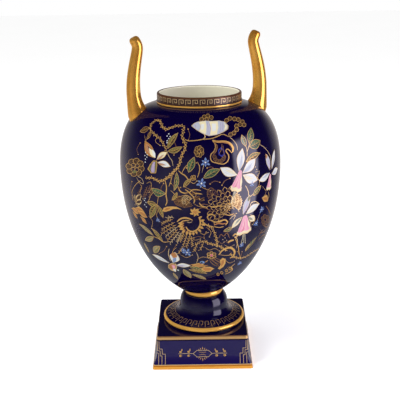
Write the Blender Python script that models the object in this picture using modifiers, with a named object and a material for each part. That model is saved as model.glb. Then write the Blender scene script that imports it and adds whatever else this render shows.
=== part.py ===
"""Pedestal vase: an egg-shaped porcelain vase with two horn handles, on a turned foot and a square plinth.

Metres, +Z up. The origin is on the ground under the middle of the plinth, whose faces look along X and Y.
The vase and the foot are thrown on the wheel, so both are turned shapes. The plinth is moulded. The vase stands
a little turned on its plinth, so that one handle comes forward and the other goes back.
"""

import math

import bmesh
import bpy
from mathutils import Matrix, Vector
from mathutils.geometry import interpolate_bezier

# Fits
SEAT_GAP = 0.0003  # between a piece and the piece that it stands on

# How the three pieces stand on each other, from the vase's axis to the right
FOOT_SHIFT = 0.0014
PLINTH_SHIFT = -0.0004

# Plinth: square, with a sloping band round its top, upright faces, a hollow flare and a flange to stand on
PLINTH_FACE_WIDTH = 0.0844
PLINTH_BAND_SLOPE = 0.0009  # how far the band leans in on its way up
PLINTH_FLARE_SPREAD = 0.0032  # from the face out to the flange's top edge
PLINTH_FLANGE_SLOPE = 0.0009  # how far the flange leans out on its way down to the ground
PLINTH_BAND_HEIGHT = 0.0045
PLINTH_FACE_HEIGHT = 0.0118
PLINTH_FLARE_HEIGHT = 0.0105
PLINTH_FLANGE_HEIGHT = 0.0045
PLINTH_CORNER_RADIUS = 0.0022
PLINTH_WALL = 0.0060

# Foot: a round collar under the bowl, a bell-shaped stem that spreads to a beaded rim, and a low ring
COLLAR_RADIUS = 0.0182
COLLAR_HEIGHT = 0.0045
COLLAR_BULGE = 0.0012
FOOT_PLINTH_MARGIN = 0.0010  # from the bead out to the edge of the plinth's top, where it comes nearest
FOOT_SHOULDER_HEIGHT = 0.0105
FOOT_SHOULDER_SPREAD = 0.0056  # from the foot of the collar out to the stem
FOOT_FLARE_HEIGHT = 0.0119
FOOT_BEAD_HEIGHT = 0.0039
FOOT_RING_HEIGHT = 0.0011
FOOT_RING_INSET = 0.0018  # from the bead's edge in to the ring
FOOT_FLARE_DROP = 0.0086  # how far the stem's outline runs down before it turns out
FOOT_FLARE_REACH = 0.0098  # how far the rim's outline runs in before it turns up
FOOT_RIM_SLOPE = math.radians(14.0)
FOOT_WALL = 0.0050

# Vase: bowl and neck
VASE_SEAT_MARGIN = 0.0012  # how far the flat base reaches past the collar's top, where it comes nearest
WAIST_SPREAD = 0.0017  # from the flat base out to the lowest edge of the bowl
WAIST_RISE = 0.0008
WAIST_FLARE = math.radians(36.0)  # above level, where the bowl leaves the waist
WAIST_PULL = 0.0469
BELLY_RADIUS = 0.0726
BELLY_HEIGHT = 0.1190  # from the waist up to the widest ring
BELLY_PULL_DOWN = 0.0434
BELLY_PULL_UP = 0.0326
SHOULDER_HEIGHT = 0.0564  # from the widest ring up to the neck
SHOULDER_SLOPE = math.radians(5.0)
SHOULDER_PULL = 0.0241
NECK_RADIUS = 0.0376
NECK_HEIGHT = 0.0095
NECK_BEAD_LIFT = 0.0003
NECK_BEAD_HEIGHT = 0.0024
NECK_BEAD_BULGE = 0.0006
BOWL_WALL = 0.0034
NECK_WALL = 0.0025

# Handles: two horns that stand on the shoulder and kick outwards at the tip
VASE_TURN = math.radians(13.0)  # seen from above, against the clock
HORN_PAIR_SHIFT = -0.0009  # the pair stands a little to the left of the vase's axis
HORN_PAIR_LEAN = math.radians(-1.1)  # and leans that way too
HORN_ROOT_DISTANCE = 0.0544  # from the vase's axis, on the shoulder
HORN_ROOT_LEAN = math.radians(18.0)  # outwards from upright
HORN_ROOT_PULL = 0.0249
HORN_ROOT_DEPTH = 0.0170  # how far the horn runs on below the shoulder's face
HORN_THROAT_RISE = 0.0561  # from the root up to where the horn comes nearest to the axis
HORN_THROAT_INSET = 0.0027  # how much nearer to the axis than the root
HORN_THROAT_PULL = 0.0062
HORN_TIP_RISE = 0.0085
HORN_TIP_KICK = 0.0040
HORN_TIP_LEAN = math.radians(54.0)
HORN_TIP_PULL = 0.0038
HORN_ROOT_RADIUS = 0.0069
HORN_THROAT_RADIUS = 0.0048
HORN_TIP_RADIUS = 0.0045
HORN_FLARE = 0.0024  # how much the root spreads where it meets the shoulder
HORN_FLARE_RISE = 0.0165

# Glazes
COBALT = (0.006, 0.007, 0.045)
PLINTH_ROUGHNESS = 0.16
FOOT_ROUGHNESS = 0.10
VASE_ROUGHNESS = 0.08
GLAZE_COAT = 0.5

# Fineness of the facets
VASE_SIDES = 56
FOOT_SIDES = 40
PLINTH_CORNER_STEPS = 2
PLINTH_FLARE_STEPS = 4
COLLAR_STEPS = 4
FOOT_SHOULDER_STEPS = 4
FOOT_FLARE_STEPS = 7
FOOT_BEAD_STEPS = 6
SHOULDER_STEPS = 10
BOWL_STEPS = 15
INNER_SHOULDER_STEPS = 6
INNER_BOWL_STEPS = 10
NECK_BEAD_STEPS = 4
LIP_STEPS = 4
HORN_BEVEL_RESOLUTION = 4
HORN_STEP = 0.0042
HORN_FEWEST_STEPS = 4
HORN_DOME_ANGLES = (16.0, 32.0, 50.0, 68.0, 86.0)  # degrees, from the dome's foot to its top
SAMPLES = 200  # points on a curve that distances are measured along

# Heights that follow from the sizes above
PLINTH_HEIGHT = PLINTH_FLANGE_HEIGHT + PLINTH_FLARE_HEIGHT + PLINTH_FACE_HEIGHT + PLINTH_BAND_HEIGHT
STEM_HEIGHT = FOOT_RING_HEIGHT + FOOT_BEAD_HEIGHT + FOOT_FLARE_HEIGHT + FOOT_SHOULDER_HEIGHT
FOOT_HEIGHT = STEM_HEIGHT + COLLAR_HEIGHT
FOOT_BASE = PLINTH_HEIGHT + SEAT_GAP
VASE_BASE = FOOT_BASE + FOOT_HEIGHT + SEAT_GAP

TINY = 0.00001  # distance under which two vertices are one


def new_collection(name):
    """A collection in the scene for the pieces or for the cutters."""
    collection = bpy.data.collections.new(name)
    bpy.context.scene.collection.children.link(collection)
    return collection


def glaze(name, roughness):
    """A glossy dark blue material."""
    material = bpy.data.materials.new(name)
    material.use_nodes = True
    shader = material.node_tree.nodes["Principled BSDF"]
    shader.inputs["Base Color"].default_value = (*COBALT, 1.0)
    shader.inputs["Roughness"].default_value = roughness
    shader.inputs["Coat Weight"].default_value = GLAZE_COAT
    material.diffuse_color = (*COBALT, 1.0)
    return material


def place(data, name, collection, across=0.0, height=0.0):
    """A mesh or a curve as an object, moved along X and raised."""
    piece = bpy.data.objects.new(name, data)
    piece.location = (across, 0.0, height)
    collection.objects.link(piece)
    return piece


def as_guide(piece):
    """A cutter or a guide shows as wires and isn't rendered."""
    piece.hide_render = True
    piece.display_type = "WIRE"
    return piece


def cubic(start, leave, arrive, end, steps):
    """Points on a cubic curve; leave and arrive are its handles, as offsets from its two ends."""
    return interpolate_bezier(start, start + leave, end + arrive, end, steps + 1)


def towards(angle, length):
    """An offset of a length at an angle above level."""
    return Vector((math.cos(angle), math.sin(angle))) * length


def bulge(top, bottom, height, steps):
    """A half-round bead's outline between two points of the same radius."""
    middle = (top + bottom) / 2.0
    half = (top - bottom).length / 2.0
    angles = [math.pi * (0.5 - step / steps) for step in range(steps + 1)]
    return [middle + Vector((height * math.cos(a), half * math.sin(a))) for a in angles]


def inset(outline, wall):
    """The outline of a wall's inner face, where the outer face runs from top to bottom."""
    inner = []
    last = len(outline) - 1
    for index, point in enumerate(outline):
        along = (outline[min(index + 1, last)] - outline[max(index - 1, 0)]).normalized()
        inner.append(point + Vector((along.y, -along.x)) * wall)
    return inner


def turned(name, outline, sides, collection, across, height):
    """A body of revolution whose outline, as radius and height, runs down its outer side."""
    mesh = bpy.data.meshes.new(name)
    corners = [(point.x, 0.0, point.y) for point in outline]
    mesh.from_pydata(corners, [(i, i + 1) for i in range(len(corners) - 1)], [])
    piece = place(mesh, name, collection, across, height)
    screw = piece.modifiers.new("turned on the wheel", "SCREW")
    screw.steps = sides
    screw.render_steps = sides
    screw.use_merge_vertices = True
    screw.merge_threshold = TINY
    screw.use_smooth_shade = True
    return piece


def cut(piece, cutter, operation):
    """Join a shape to a piece, or take it away."""
    boolean = piece.modifiers.new(cutter.name, "BOOLEAN")
    boolean.operation = operation
    boolean.solver = "EXACT"
    boolean.object = cutter


def plinth_top_half():
    """Half the width of the plinth's flat top."""
    return PLINTH_FACE_WIDTH / 2.0 - PLINTH_BAND_SLOPE


def plinth_rings():
    """The plinth's half width at each height, from the ground up."""
    face = PLINTH_FACE_WIDTH / 2.0
    rings = [(0.0, face + PLINTH_FLARE_SPREAD + PLINTH_FLANGE_SLOPE)]
    for step in range(PLINTH_FLARE_STEPS + 1):
        share = step / PLINTH_FLARE_STEPS
        half = face + PLINTH_FLARE_SPREAD * (1.0 - share) ** 2
        rings.append((PLINTH_FLANGE_HEIGHT + PLINTH_FLARE_HEIGHT * share, half))
    rings.append((PLINTH_HEIGHT - PLINTH_BAND_HEIGHT, face))
    rings.append((PLINTH_HEIGHT, plinth_top_half()))
    return rings


def plinth_block(collection):
    """A square block with rounded upright corners, cut at each ring and spread to the ring's width."""
    rings = plinth_rings()
    base = rings[0][1]
    bm = bmesh.new()
    bmesh.ops.create_cube(bm, size=1.0, matrix=Matrix.Translation((0.0, 0.0, 0.5)))
    bmesh.ops.scale(bm, vec=(2.0 * base, 2.0 * base, PLINTH_HEIGHT), verts=bm.verts)
    uprights = [edge for edge in bm.edges if abs(edge.verts[0].co.z - edge.verts[1].co.z) > TINY]
    bmesh.ops.bevel(
        bm,
        geom=uprights,
        offset=PLINTH_CORNER_RADIUS,
        segments=PLINTH_CORNER_STEPS,
        profile=0.5,
        affect="EDGES",
    )
    for height, half in rings[1:-1]:
        everything = bm.verts[:] + bm.edges[:] + bm.faces[:]
        bmesh.ops.bisect_plane(bm, geom=everything, plane_co=(0.0, 0.0, height), plane_no=(0.0, 0.0, 1.0))
    for vertex in bm.verts:
        half = min(rings, key=lambda ring: abs(ring[0] - vertex.co.z))[1]
        vertex.co.x += (half - base) * math.copysign(1.0, vertex.co.x)
        vertex.co.y += (half - base) * math.copysign(1.0, vertex.co.y)
    mesh = bpy.data.meshes.new("plinth")
    bm.to_mesh(mesh)
    bm.free()
    return place(mesh, "plinth", collection, PLINTH_SHIFT)


def plinth_hollow(cutters):
    """The hollow under the plinth, open to the ground."""
    width = PLINTH_FACE_WIDTH - 2.0 * PLINTH_WALL
    roof = PLINTH_HEIGHT - PLINTH_WALL
    bm = bmesh.new()
    bmesh.ops.create_cube(bm, size=1.0)
    bmesh.ops.scale(bm, vec=(width, width, 2.0 * roof), verts=bm.verts)
    mesh = bpy.data.meshes.new("plinth_hollow")
    bm.to_mesh(mesh)
    bm.free()
    return as_guide(place(mesh, "plinth_hollow", cutters, PLINTH_SHIFT))


def foot_outline():
    """The foot from the middle of its top, down its outer side and up the hollow under it."""
    collar = COLLAR_RADIUS - COLLAR_BULGE
    stem = collar + FOOT_SHOULDER_SPREAD
    bead_edge = plinth_top_half() - abs(FOOT_SHIFT - PLINTH_SHIFT) - FOOT_PLINTH_MARGIN
    rim = bead_edge - FOOT_BEAD_HEIGHT / 2.0
    ring = bead_edge - FOOT_RING_INSET
    bore = stem - FOOT_WALL
    bead_top = FOOT_RING_HEIGHT + FOOT_BEAD_HEIGHT
    flare_top = bead_top + FOOT_FLARE_HEIGHT
    outline = [Vector((0.0, FOOT_HEIGHT))]
    outline += bulge(Vector((collar, FOOT_HEIGHT)), Vector((collar, STEM_HEIGHT)), COLLAR_BULGE, COLLAR_STEPS)
    for step in range(1, FOOT_SHOULDER_STEPS + 1):
        angle = math.pi / 2.0 * (1.0 - step / FOOT_SHOULDER_STEPS)
        across = collar + FOOT_SHOULDER_SPREAD * math.cos(angle)
        outline.append(Vector((across, flare_top + FOOT_SHOULDER_HEIGHT * math.sin(angle))))
    down = Vector((0.0, -FOOT_FLARE_DROP))
    back = towards(math.pi - FOOT_RIM_SLOPE, FOOT_FLARE_REACH)
    flare_foot = Vector((rim, bead_top))
    outline += cubic(Vector((stem, flare_top)), down, back, flare_foot, FOOT_FLARE_STEPS)[1:-1]
    bead_bottom = Vector((rim, FOOT_RING_HEIGHT))
    outline += bulge(flare_foot, bead_bottom, FOOT_BEAD_HEIGHT / 2.0, FOOT_BEAD_STEPS)
    outline += [Vector((ring, FOOT_RING_HEIGHT)), Vector((ring, 0.0)), Vector((bore, 0.0))]
    outline += [Vector((bore, STEM_HEIGHT - FOOT_WALL)), Vector((0.0, STEM_HEIGHT - FOOT_WALL))]
    return outline


def vase_seat_radius():
    """The radius of the flat base under the bowl, which covers the collar wherever the foot stands."""
    return COLLAR_RADIUS - COLLAR_BULGE + abs(FOOT_SHIFT) + VASE_SEAT_MARGIN


def bowl_outline(shoulder_steps, bowl_steps):
    """The outer face of the bowl, from the neck down to the waist."""
    waist = Vector((vase_seat_radius() + WAIST_SPREAD, WAIST_RISE))
    belly = Vector((BELLY_RADIUS, waist.y + BELLY_HEIGHT))
    neck = Vector((NECK_RADIUS, belly.y + SHOULDER_HEIGHT))
    up = Vector((0.0, BELLY_PULL_UP))
    down = Vector((0.0, -BELLY_PULL_DOWN))
    shoulder = cubic(neck, towards(-SHOULDER_SLOPE, SHOULDER_PULL), up, belly, shoulder_steps)
    bowl = cubic(belly, down, towards(WAIST_FLARE, WAIST_PULL), waist, bowl_steps)
    return shoulder + bowl[1:]


def neck_outline():
    """The outer face of the neck, from below the lip down to the shoulder, with its bead."""
    shoulder = bowl_outline(1, 1)[0]
    bead_bottom = shoulder + Vector((0.0, NECK_BEAD_LIFT))
    bead_top = bead_bottom + Vector((0.0, NECK_BEAD_HEIGHT))
    return bulge(bead_top, bead_bottom, NECK_BEAD_BULGE, NECK_BEAD_STEPS)


def lip_outline():
    """The rounded lip, from its inner side over the top to its outer side."""
    outer = bowl_outline(1, 1)[0] + Vector((0.0, NECK_HEIGHT - NECK_WALL / 2.0))
    middle = outer - Vector((NECK_WALL / 2.0, 0.0))
    angles = [math.pi * (1.0 - step / LIP_STEPS) for step in range(LIP_STEPS + 1)]
    return [middle + towards(angle, NECK_WALL / 2.0) for angle in angles]


def vase_outline():
    """The vase from the floor inside, up to the lip, down the outer side and in under the bowl."""
    inner = inset(bowl_outline(INNER_SHOULDER_STEPS, INNER_BOWL_STEPS), BOWL_WALL)
    inner.reverse()
    outline = [Vector((0.0, inner[0].y))]
    outline += inner
    outline += lip_outline()
    outline += neck_outline()
    outline += bowl_outline(SHOULDER_STEPS, BOWL_STEPS)
    outline += [Vector((vase_seat_radius(), 0.0)), Vector((0.0, 0.0))]
    return outline


def bowl_core(cutters):
    """A solid as big as the middle of the bowl's wall, which cuts the horns off inside the wall."""
    outline = inset(bowl_outline(SHOULDER_STEPS, BOWL_STEPS), BOWL_WALL / 2.0)
    outline.insert(0, Vector((0.0, outline[0].y)))
    outline.append(Vector((0.0, outline[-1].y)))
    return as_guide(turned("bowl_core", outline, VASE_SIDES, cutters, 0.0, VASE_BASE))


def shoulder_height_at(distance):
    """How high the shoulder's face is at a distance from the vase's axis."""
    fine = bowl_outline(SAMPLES, 1)
    return min(fine[:-1], key=lambda point: abs(point.x - distance)).y


def horn_centre_line():
    """The horn's middle from its buried end to its tip, as distance and height, and its throat's index."""
    root = Vector((HORN_ROOT_DISTANCE, shoulder_height_at(HORN_ROOT_DISTANCE)))
    throat = root + Vector((-HORN_THROAT_INSET, HORN_THROAT_RISE))
    tip = throat + Vector((HORN_TIP_KICK, HORN_TIP_RISE))
    rising = towards(math.pi / 2.0 - HORN_ROOT_LEAN, 1.0)
    buried = root - rising * HORN_ROOT_DEPTH
    settling = Vector((0.0, -HORN_THROAT_PULL))
    stalk = cubic(root, rising * HORN_ROOT_PULL, settling, throat, SAMPLES)
    leaning = towards(math.pi / 2.0 - HORN_TIP_LEAN, 1.0)
    curl = cubic(throat, Vector((0.0, HORN_TIP_PULL)), -leaning * HORN_TIP_PULL, tip, SAMPLES)
    return [buried] + stalk + curl[1:], len(stalk)


def horn_radius(rise, throat, length):
    """How thick the horn is at a distance along it from the shoulder, where it flares, to the domed tip."""
    if rise < throat:
        radius = HORN_ROOT_RADIUS + (HORN_THROAT_RADIUS - HORN_ROOT_RADIUS) * rise / throat
    else:
        share = (rise - throat) / (length - throat)
        radius = HORN_THROAT_RADIUS + (HORN_TIP_RADIUS - HORN_THROAT_RADIUS) * share
    radius += HORN_FLARE * max(0.0, 1.0 - rise / HORN_FLARE_RISE) ** 2
    to_end = length - rise
    if to_end < HORN_TIP_RADIUS:
        radius *= math.sqrt(1.0 - (1.0 - to_end / HORN_TIP_RADIUS) ** 2)
    return radius


def horn_rings():
    """Where the horn's rings of vertices are, and how wide each is."""
    line, throat_index = horn_centre_line()
    runs = [-HORN_ROOT_DEPTH]
    for before, after in zip(line, line[1:]):
        runs.append(runs[-1] + (after - before).length)
    length = runs[-1]
    lifts = [math.sin(math.radians(angle)) for angle in HORN_DOME_ANGLES]
    dome = [length - HORN_TIP_RADIUS * (1.0 - lift) for lift in lifts]
    count = max(HORN_FEWEST_STEPS, round(dome[0] / HORN_STEP))
    stops = [-HORN_ROOT_DEPTH] + [dome[0] * step / count for step in range(count)] + dome
    rings = []
    for stop in stops:
        after = max(1, next(i for i, run in enumerate(runs) if run >= stop))
        share = (stop - runs[after - 1]) / (runs[after] - runs[after - 1])
        centre = line[after - 1].lerp(line[after], share)
        rings.append((centre, horn_radius(max(0.0, stop), runs[throat_index], length)))
    return rings


def horn(name, turn, cutters, core):
    """One horn as a bevelled curve with capped ends, made a mesh and cut off inside the bowl's wall."""
    rings = horn_rings()
    curve = bpy.data.curves.new(name, "CURVE")
    curve.dimensions = "3D"
    curve.bevel_depth = HORN_ROOT_RADIUS
    curve.bevel_resolution = HORN_BEVEL_RESOLUTION
    curve.use_fill_caps = True
    spline = curve.splines.new("POLY")
    spline.points.add(len(rings) - 1)
    for point, (centre, radius) in zip(spline.points, rings):
        point.co = (centre.x, 0.0, centre.y, 1.0)
        point.radius = radius / HORN_ROOT_RADIUS
    root = Vector((0.0, 0.0, shoulder_height_at(HORN_ROOT_DISTANCE)))
    lean = Matrix.Translation(root) @ Matrix.Rotation(HORN_PAIR_LEAN, 4, "Y") @ Matrix.Translation(-root)
    guide = place(curve, name + "_curve", cutters)
    stand = Matrix.Translation((HORN_PAIR_SHIFT, 0.0, VASE_BASE))
    guide.matrix_world = stand @ lean @ Matrix.Rotation(turn, 4, "Z")
    bpy.context.view_layer.update()
    mesh = bpy.data.meshes.new_from_object(guide.evaluated_get(bpy.context.evaluated_depsgraph_get()))
    bm = bmesh.new()
    bm.from_mesh(mesh)
    bmesh.ops.remove_doubles(bm, verts=bm.verts, dist=TINY)
    bm.to_mesh(mesh)
    bm.free()
    mesh.shade_smooth()
    piece = as_guide(place(mesh, name, cutters))
    piece.matrix_world = guide.matrix_world.copy()
    bpy.data.objects.remove(guide)
    cut(piece, core, "DIFFERENCE")
    return piece


def main():
    """Build the plinth, the foot and the vase."""
    for old in list(bpy.data.objects):
        bpy.data.objects.remove(old)
    pieces = new_collection("pedestal_vase")
    cutters = new_collection("pedestal_vase_cutters")

    plinth = plinth_block(pieces)
    cut(plinth, plinth_hollow(cutters), "DIFFERENCE")
    plinth.data.materials.append(glaze("plinth_cobalt_glaze", PLINTH_ROUGHNESS))

    foot = turned("pedestal_foot", foot_outline(), FOOT_SIDES, pieces, FOOT_SHIFT, FOOT_BASE)
    foot.data.materials.append(glaze("foot_cobalt_glaze", FOOT_ROUGHNESS))

    vase = turned("vase", vase_outline(), VASE_SIDES, pieces, 0.0, VASE_BASE)
    vase.data.materials.append(glaze("vase_cobalt_glaze", VASE_ROUGHNESS))
    core = bowl_core(cutters)
    for name, turn in (("horn_right", VASE_TURN), ("horn_left", VASE_TURN + math.pi)):
        cut(vase, horn(name, turn, cutters, core), "UNION")


main()
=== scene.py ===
"""The dressed pedestal vase: cobalt glaze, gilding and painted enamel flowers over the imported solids.

Metres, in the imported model's frame, with the front towards -Y. The decoration is colour and isn't raised:
each surface is laid out flat, the painted shapes are cut into it as areas of their own, and it is rolled up
again. The bowl's shapes are placed by the photograph's pixels and drawn with the functions below.
"""

import bisect
import cmath
import math

import bmesh
import bpy
from mathutils import Matrix, Vector
from mathutils.geometry import delaunay_2d_cdt, interpolate_bezier, tessellate_polygon


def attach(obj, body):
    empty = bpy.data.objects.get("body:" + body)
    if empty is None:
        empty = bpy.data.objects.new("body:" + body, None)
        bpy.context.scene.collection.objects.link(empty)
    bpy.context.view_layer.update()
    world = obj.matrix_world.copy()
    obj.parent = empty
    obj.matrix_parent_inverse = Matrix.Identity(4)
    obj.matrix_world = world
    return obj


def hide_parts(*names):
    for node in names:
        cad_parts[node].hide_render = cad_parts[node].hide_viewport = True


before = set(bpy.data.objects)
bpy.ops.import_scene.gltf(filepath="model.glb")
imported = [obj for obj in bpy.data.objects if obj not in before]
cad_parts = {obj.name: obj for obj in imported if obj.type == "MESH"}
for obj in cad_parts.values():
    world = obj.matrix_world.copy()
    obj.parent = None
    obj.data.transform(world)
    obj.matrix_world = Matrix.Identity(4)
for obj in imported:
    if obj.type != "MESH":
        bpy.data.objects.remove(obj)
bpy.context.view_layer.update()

MM = 0.001

# Plinth, from the ground up
PLINTH_SHIFT = -0.0004
PLINTH_FACE_HALF = 0.0422
PLINTH_BAND_SLOPE = 0.0009
PLINTH_FLARE_SPREAD = 0.0032
PLINTH_FLANGE_SLOPE = 0.0009
PLINTH_CORNER = 0.0022
PLINTH_WALL = 0.0060
FLANGE_TOP = 0.0045
FLARE_TOP = 0.0150
FACE_TOP = 0.0268
GILT_BAND_FOOT = 0.0281
# Where the gilt band's brown edge of painted reflection begins
GILT_BAND_EDGE = 0.0303
# Heights where the flange's band of painted shade and its pale painted highlight line begin
FLANGE_SHADE_FOOT = 0.0024
FLANGE_HIGHLIGHT_FOOT = 0.0039
PLINTH_TOP = 0.0313
FACE_LINES = (0.0190, 0.0229)
FLARE_STEPS = 8
FIGURE_MIDDLE = 13.9
FIGURE_LINE = 0.00018
BRACKET_LINE = 0.00020

# Foot, from its ring up
FOOT_SHIFT = 0.0014
FOOT_BASE = 0.0316
RING_TOP = 0.0327
BEAD_TOP = 0.0366
FLARE_EDGE = 0.0485
STEM_TOP = 0.0590
FOOT_TOP = 0.0635
RING_RADIUS = 0.0367
RIM_RADIUS = 0.03655
STEM_RADIUS = 0.0226
COLLAR_CORE = 0.0170
COLLAR_BULGE = 0.0012
FOOT_BORE = 0.0176
FOOT_ROOF = 0.0050
RIM_BULGE = 0.00195
FOOT_KEYS = 34
FOOT_KEY_HALF = 0.00017 / 0.033
FOOT_KEY_FROM = 3
FOOT_KEY_TO = 16
FLARE_LINES = 40
SHOULDER_LINES = 16
BEAD_STEPS = 10

# Vase
VASE_BASE = 0.0638
SEAT_RADIUS = 0.0196
WAIST = Vector((0.0213, 0.0646))
BELLY = Vector((0.0726, 0.1836))
NECK = Vector((0.0376, 0.2400))
NECK_BEAD_FOOT = 0.2403
NECK_BEAD_TOP = 0.2427
NECK_BEAD_BULGE = 0.0006
NECK_BEAD_STEPS = 8
NECK_BEAD_GILT = 5
LIP_TURN = 0.24825
LIP_RADIUS = 0.00125
GILT_LIP_FOOT = 0.24815
LIP_STEPS = 12
LIP_GILT = 9
BOWL_WALL = 0.0034
INNER_STEPS = (24, 36)
OUTER_STEPS = (120, 180)
EDGE_MARGIN = 0.02
NECK_KEYS = 38
NECK_KEY_MARGIN = 0.13
NECK_KEY_LINE = 0.00038

# Horns
VASE_TURN = math.radians(13.0)
HORN_SHIFT = -0.0009
HORN_LEAN = math.radians(-1.1)
TIP_ROUNDING = 0.0034
HORN_DISTANCE = 0.0544
STALK_SPAN = Vector((-0.0027, 0.0561))
CURL_SPAN = Vector((0.0036, 0.0089))
STALK_STEPS = 160
CURL_STEPS = 60
ROOT_RADIUS = 0.0069
THROAT_RADIUS = 0.0048
TIP_RADIUS = 0.0045
ROOT_SPREAD = 0.0024
ROOT_SPREAD_LENGTH = 0.0165
HORN_SIDES = 40
HORN_STEPS = 60
ROOT_DEPTH = 0.0016
ROOT_SEARCH = (-0.016, 0.010)
ROOT_HALVINGS = 26
ROOT_BLEND = 0.012
BLEND_RINGS = 6
DOME_GAP = 0.0004
NECK_MARGIN = 0.0005

# Camera, found from the photograph
CAMERA = Vector((-0.00029, -0.6780, 0.3523))
PITCH = 0.2923
ROLL = 0.0151
FOCAL_PIXELS = 767.23
HALF_PICTURE = 200.0
SENSOR = 36.0

# Depths from which, and how far on, a pixel's ray is followed to the bowl, in so many steps and halvings,
# and the steps of the table of radii
RAY_START = 0.58
RAY_REACH = 0.20
RAY_STEPS = 220
RAY_HALVINGS = 18
TABLE_STEPS = 400

# Columns of the grids, the bowl's seam, the heights of the rows, and a sorting cell's side on a flat sheet
BODY_COLUMNS = 160
BODY_SEAM = 46
SIDE_COLUMNS = 120
BODY_ROW = 0.0031
BAND_ROW = 0.0018
FOOT_ROW = 0.0017
CELL = 0.02

WELD_DISTANCE = 2e-6
FLOOR_HEIGHT = -0.0001


def linear(*colour):
    """A colour of 0 to 255 a channel, as the renderer's linear values."""
    shares = [c / 255.0 for c in colour]
    return tuple(s / 12.92 if s <= 0.04045 else ((s + 0.055) / 1.055) ** 2.4 for s in shares)


def cubic(start, leave, arrive, end, steps):
    """Points on a cubic curve whose handles are offsets from its two ends."""
    return interpolate_bezier(start, start + leave, end + arrive, end, steps + 1)


def towards(angle, length):
    """An offset of a length at an angle above level."""
    return Vector((math.cos(angle), math.sin(angle))) * length


class Skin:
    """A closed mesh under construction, with an ink and true normals for every face."""

    def __init__(self):
        self.bm = bmesh.new()
        self.normal = self.bm.loops.layers.float_vector.new("true_normal")
        self.inks = []

    def slot(self, ink):
        """The number of the material slot for an ink."""
        if ink not in self.inks:
            self.inks.append(ink)
        return self.inks.index(ink)

    def sheet(self, points, normals, faces, inks):
        """Add faces by corner numbers; normals belong to the points."""
        corners = [self.bm.verts.new(point) for point in points]
        for face, ink in zip(faces, inks):
            made = self.bm.faces.new([corners[i] for i in face])
            made.material_index = self.slot(ink)
            made.smooth = True
            for loop, i in zip(made.loops, face):
                loop[self.normal] = normals[i]

    def piece(self, name, node):
        """Weld the sheets together and make the piece that stands for a CAD node."""
        bmesh.ops.remove_doubles(self.bm, verts=self.bm.verts, dist=WELD_DISTANCE)
        mesh = bpy.data.meshes.new(name)
        self.bm.to_mesh(mesh)
        layer = mesh.attributes["true_normal"]
        normals = [tuple(item.vector) for item in layer.data]
        mesh.attributes.remove(layer)
        mesh.normals_split_custom_set(normals)
        self.bm.free()
        for ink in self.inks:
            mesh.materials.append(MATERIALS[ink])
        made = bpy.data.objects.new(name, mesh)
        bpy.context.scene.collection.objects.link(made)
        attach(made, "root")
        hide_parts(node)


class Wheel:
    """A turned surface laid out flat: across is the angle round the axis, up keeps shapes true."""

    def __init__(self, outline, shift=0.0):
        self.outline = outline
        self.shift = shift
        self.ups = [0.0]
        for before, after in zip(outline, outline[1:]):
            mean = max((before.x + after.x) / 2.0, 1e-5)
            self.ups.append(self.ups[-1] + (after - before).length / mean)
        last = len(outline) - 1
        self.tangents = []
        for index in range(len(outline)):
            along = outline[min(index + 1, last)] - outline[max(index - 1, 0)]
            self.tangents.append(along.normalized())

    def spot(self, up):
        """The point of the outline and its direction at a place up the flat sheet."""
        index = min(max(bisect.bisect_right(self.ups, up) - 1, 0), len(self.ups) - 2)
        share = (up - self.ups[index]) / (self.ups[index + 1] - self.ups[index])
        share = min(max(share, 0.0), 1.0)
        point = self.outline[index].lerp(self.outline[index + 1], share)
        along = self.tangents[index].lerp(self.tangents[index + 1], share).normalized()
        return point, along

    def place(self, across, up):
        """Where a flat point comes to lie, and the normal there."""
        point, along = self.spot(up)
        sine, cosine = math.sin(across), math.cos(across)
        where = (point.x * sine + self.shift, -point.x * cosine, point.y)
        normal = (along.y * sine, -along.y * cosine, -along.x)
        return where, normal

    def scale(self, flat):
        """How long a millimetre is on the flat sheet."""
        return MM / self.spot(flat.imag)[0].x

    def up_at(self, height):
        """How far up the flat sheet a height lies, on an outline that rises all the way."""
        index = 0
        while index < len(self.outline) - 2 and self.outline[index + 1].y < height:
            index += 1
        below, above = self.outline[index], self.outline[index + 1]
        share = (height - below.y) / (above.y - below.y)
        return self.ups[index] + share * (self.ups[index + 1] - self.ups[index])

    def columns(self, count, seam=math.pi):
        """Angles of the upright lines of the grid, once round to the seam."""
        return [seam + 2.0 * math.pi * (i / count - 1.0) for i in range(count + 1)]

    def rows(self, spacing):
        """Heights of the level lines of the grid."""
        length = sum((b - a).length for a, b in zip(self.outline, self.outline[1:]))
        count = max(1, round(length / spacing))
        rows, run, wanted = [], 0.0, 0
        for index in range(len(self.outline) - 1):
            step = (self.outline[index + 1] - self.outline[index]).length
            while wanted <= count and run + step >= length * wanted / count - 1e-12:
                share = (length * wanted / count - run) / step
                rows.append(self.ups[index] + share * (self.ups[index + 1] - self.ups[index]))
                wanted += 1
            run += step
        return rows


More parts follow.
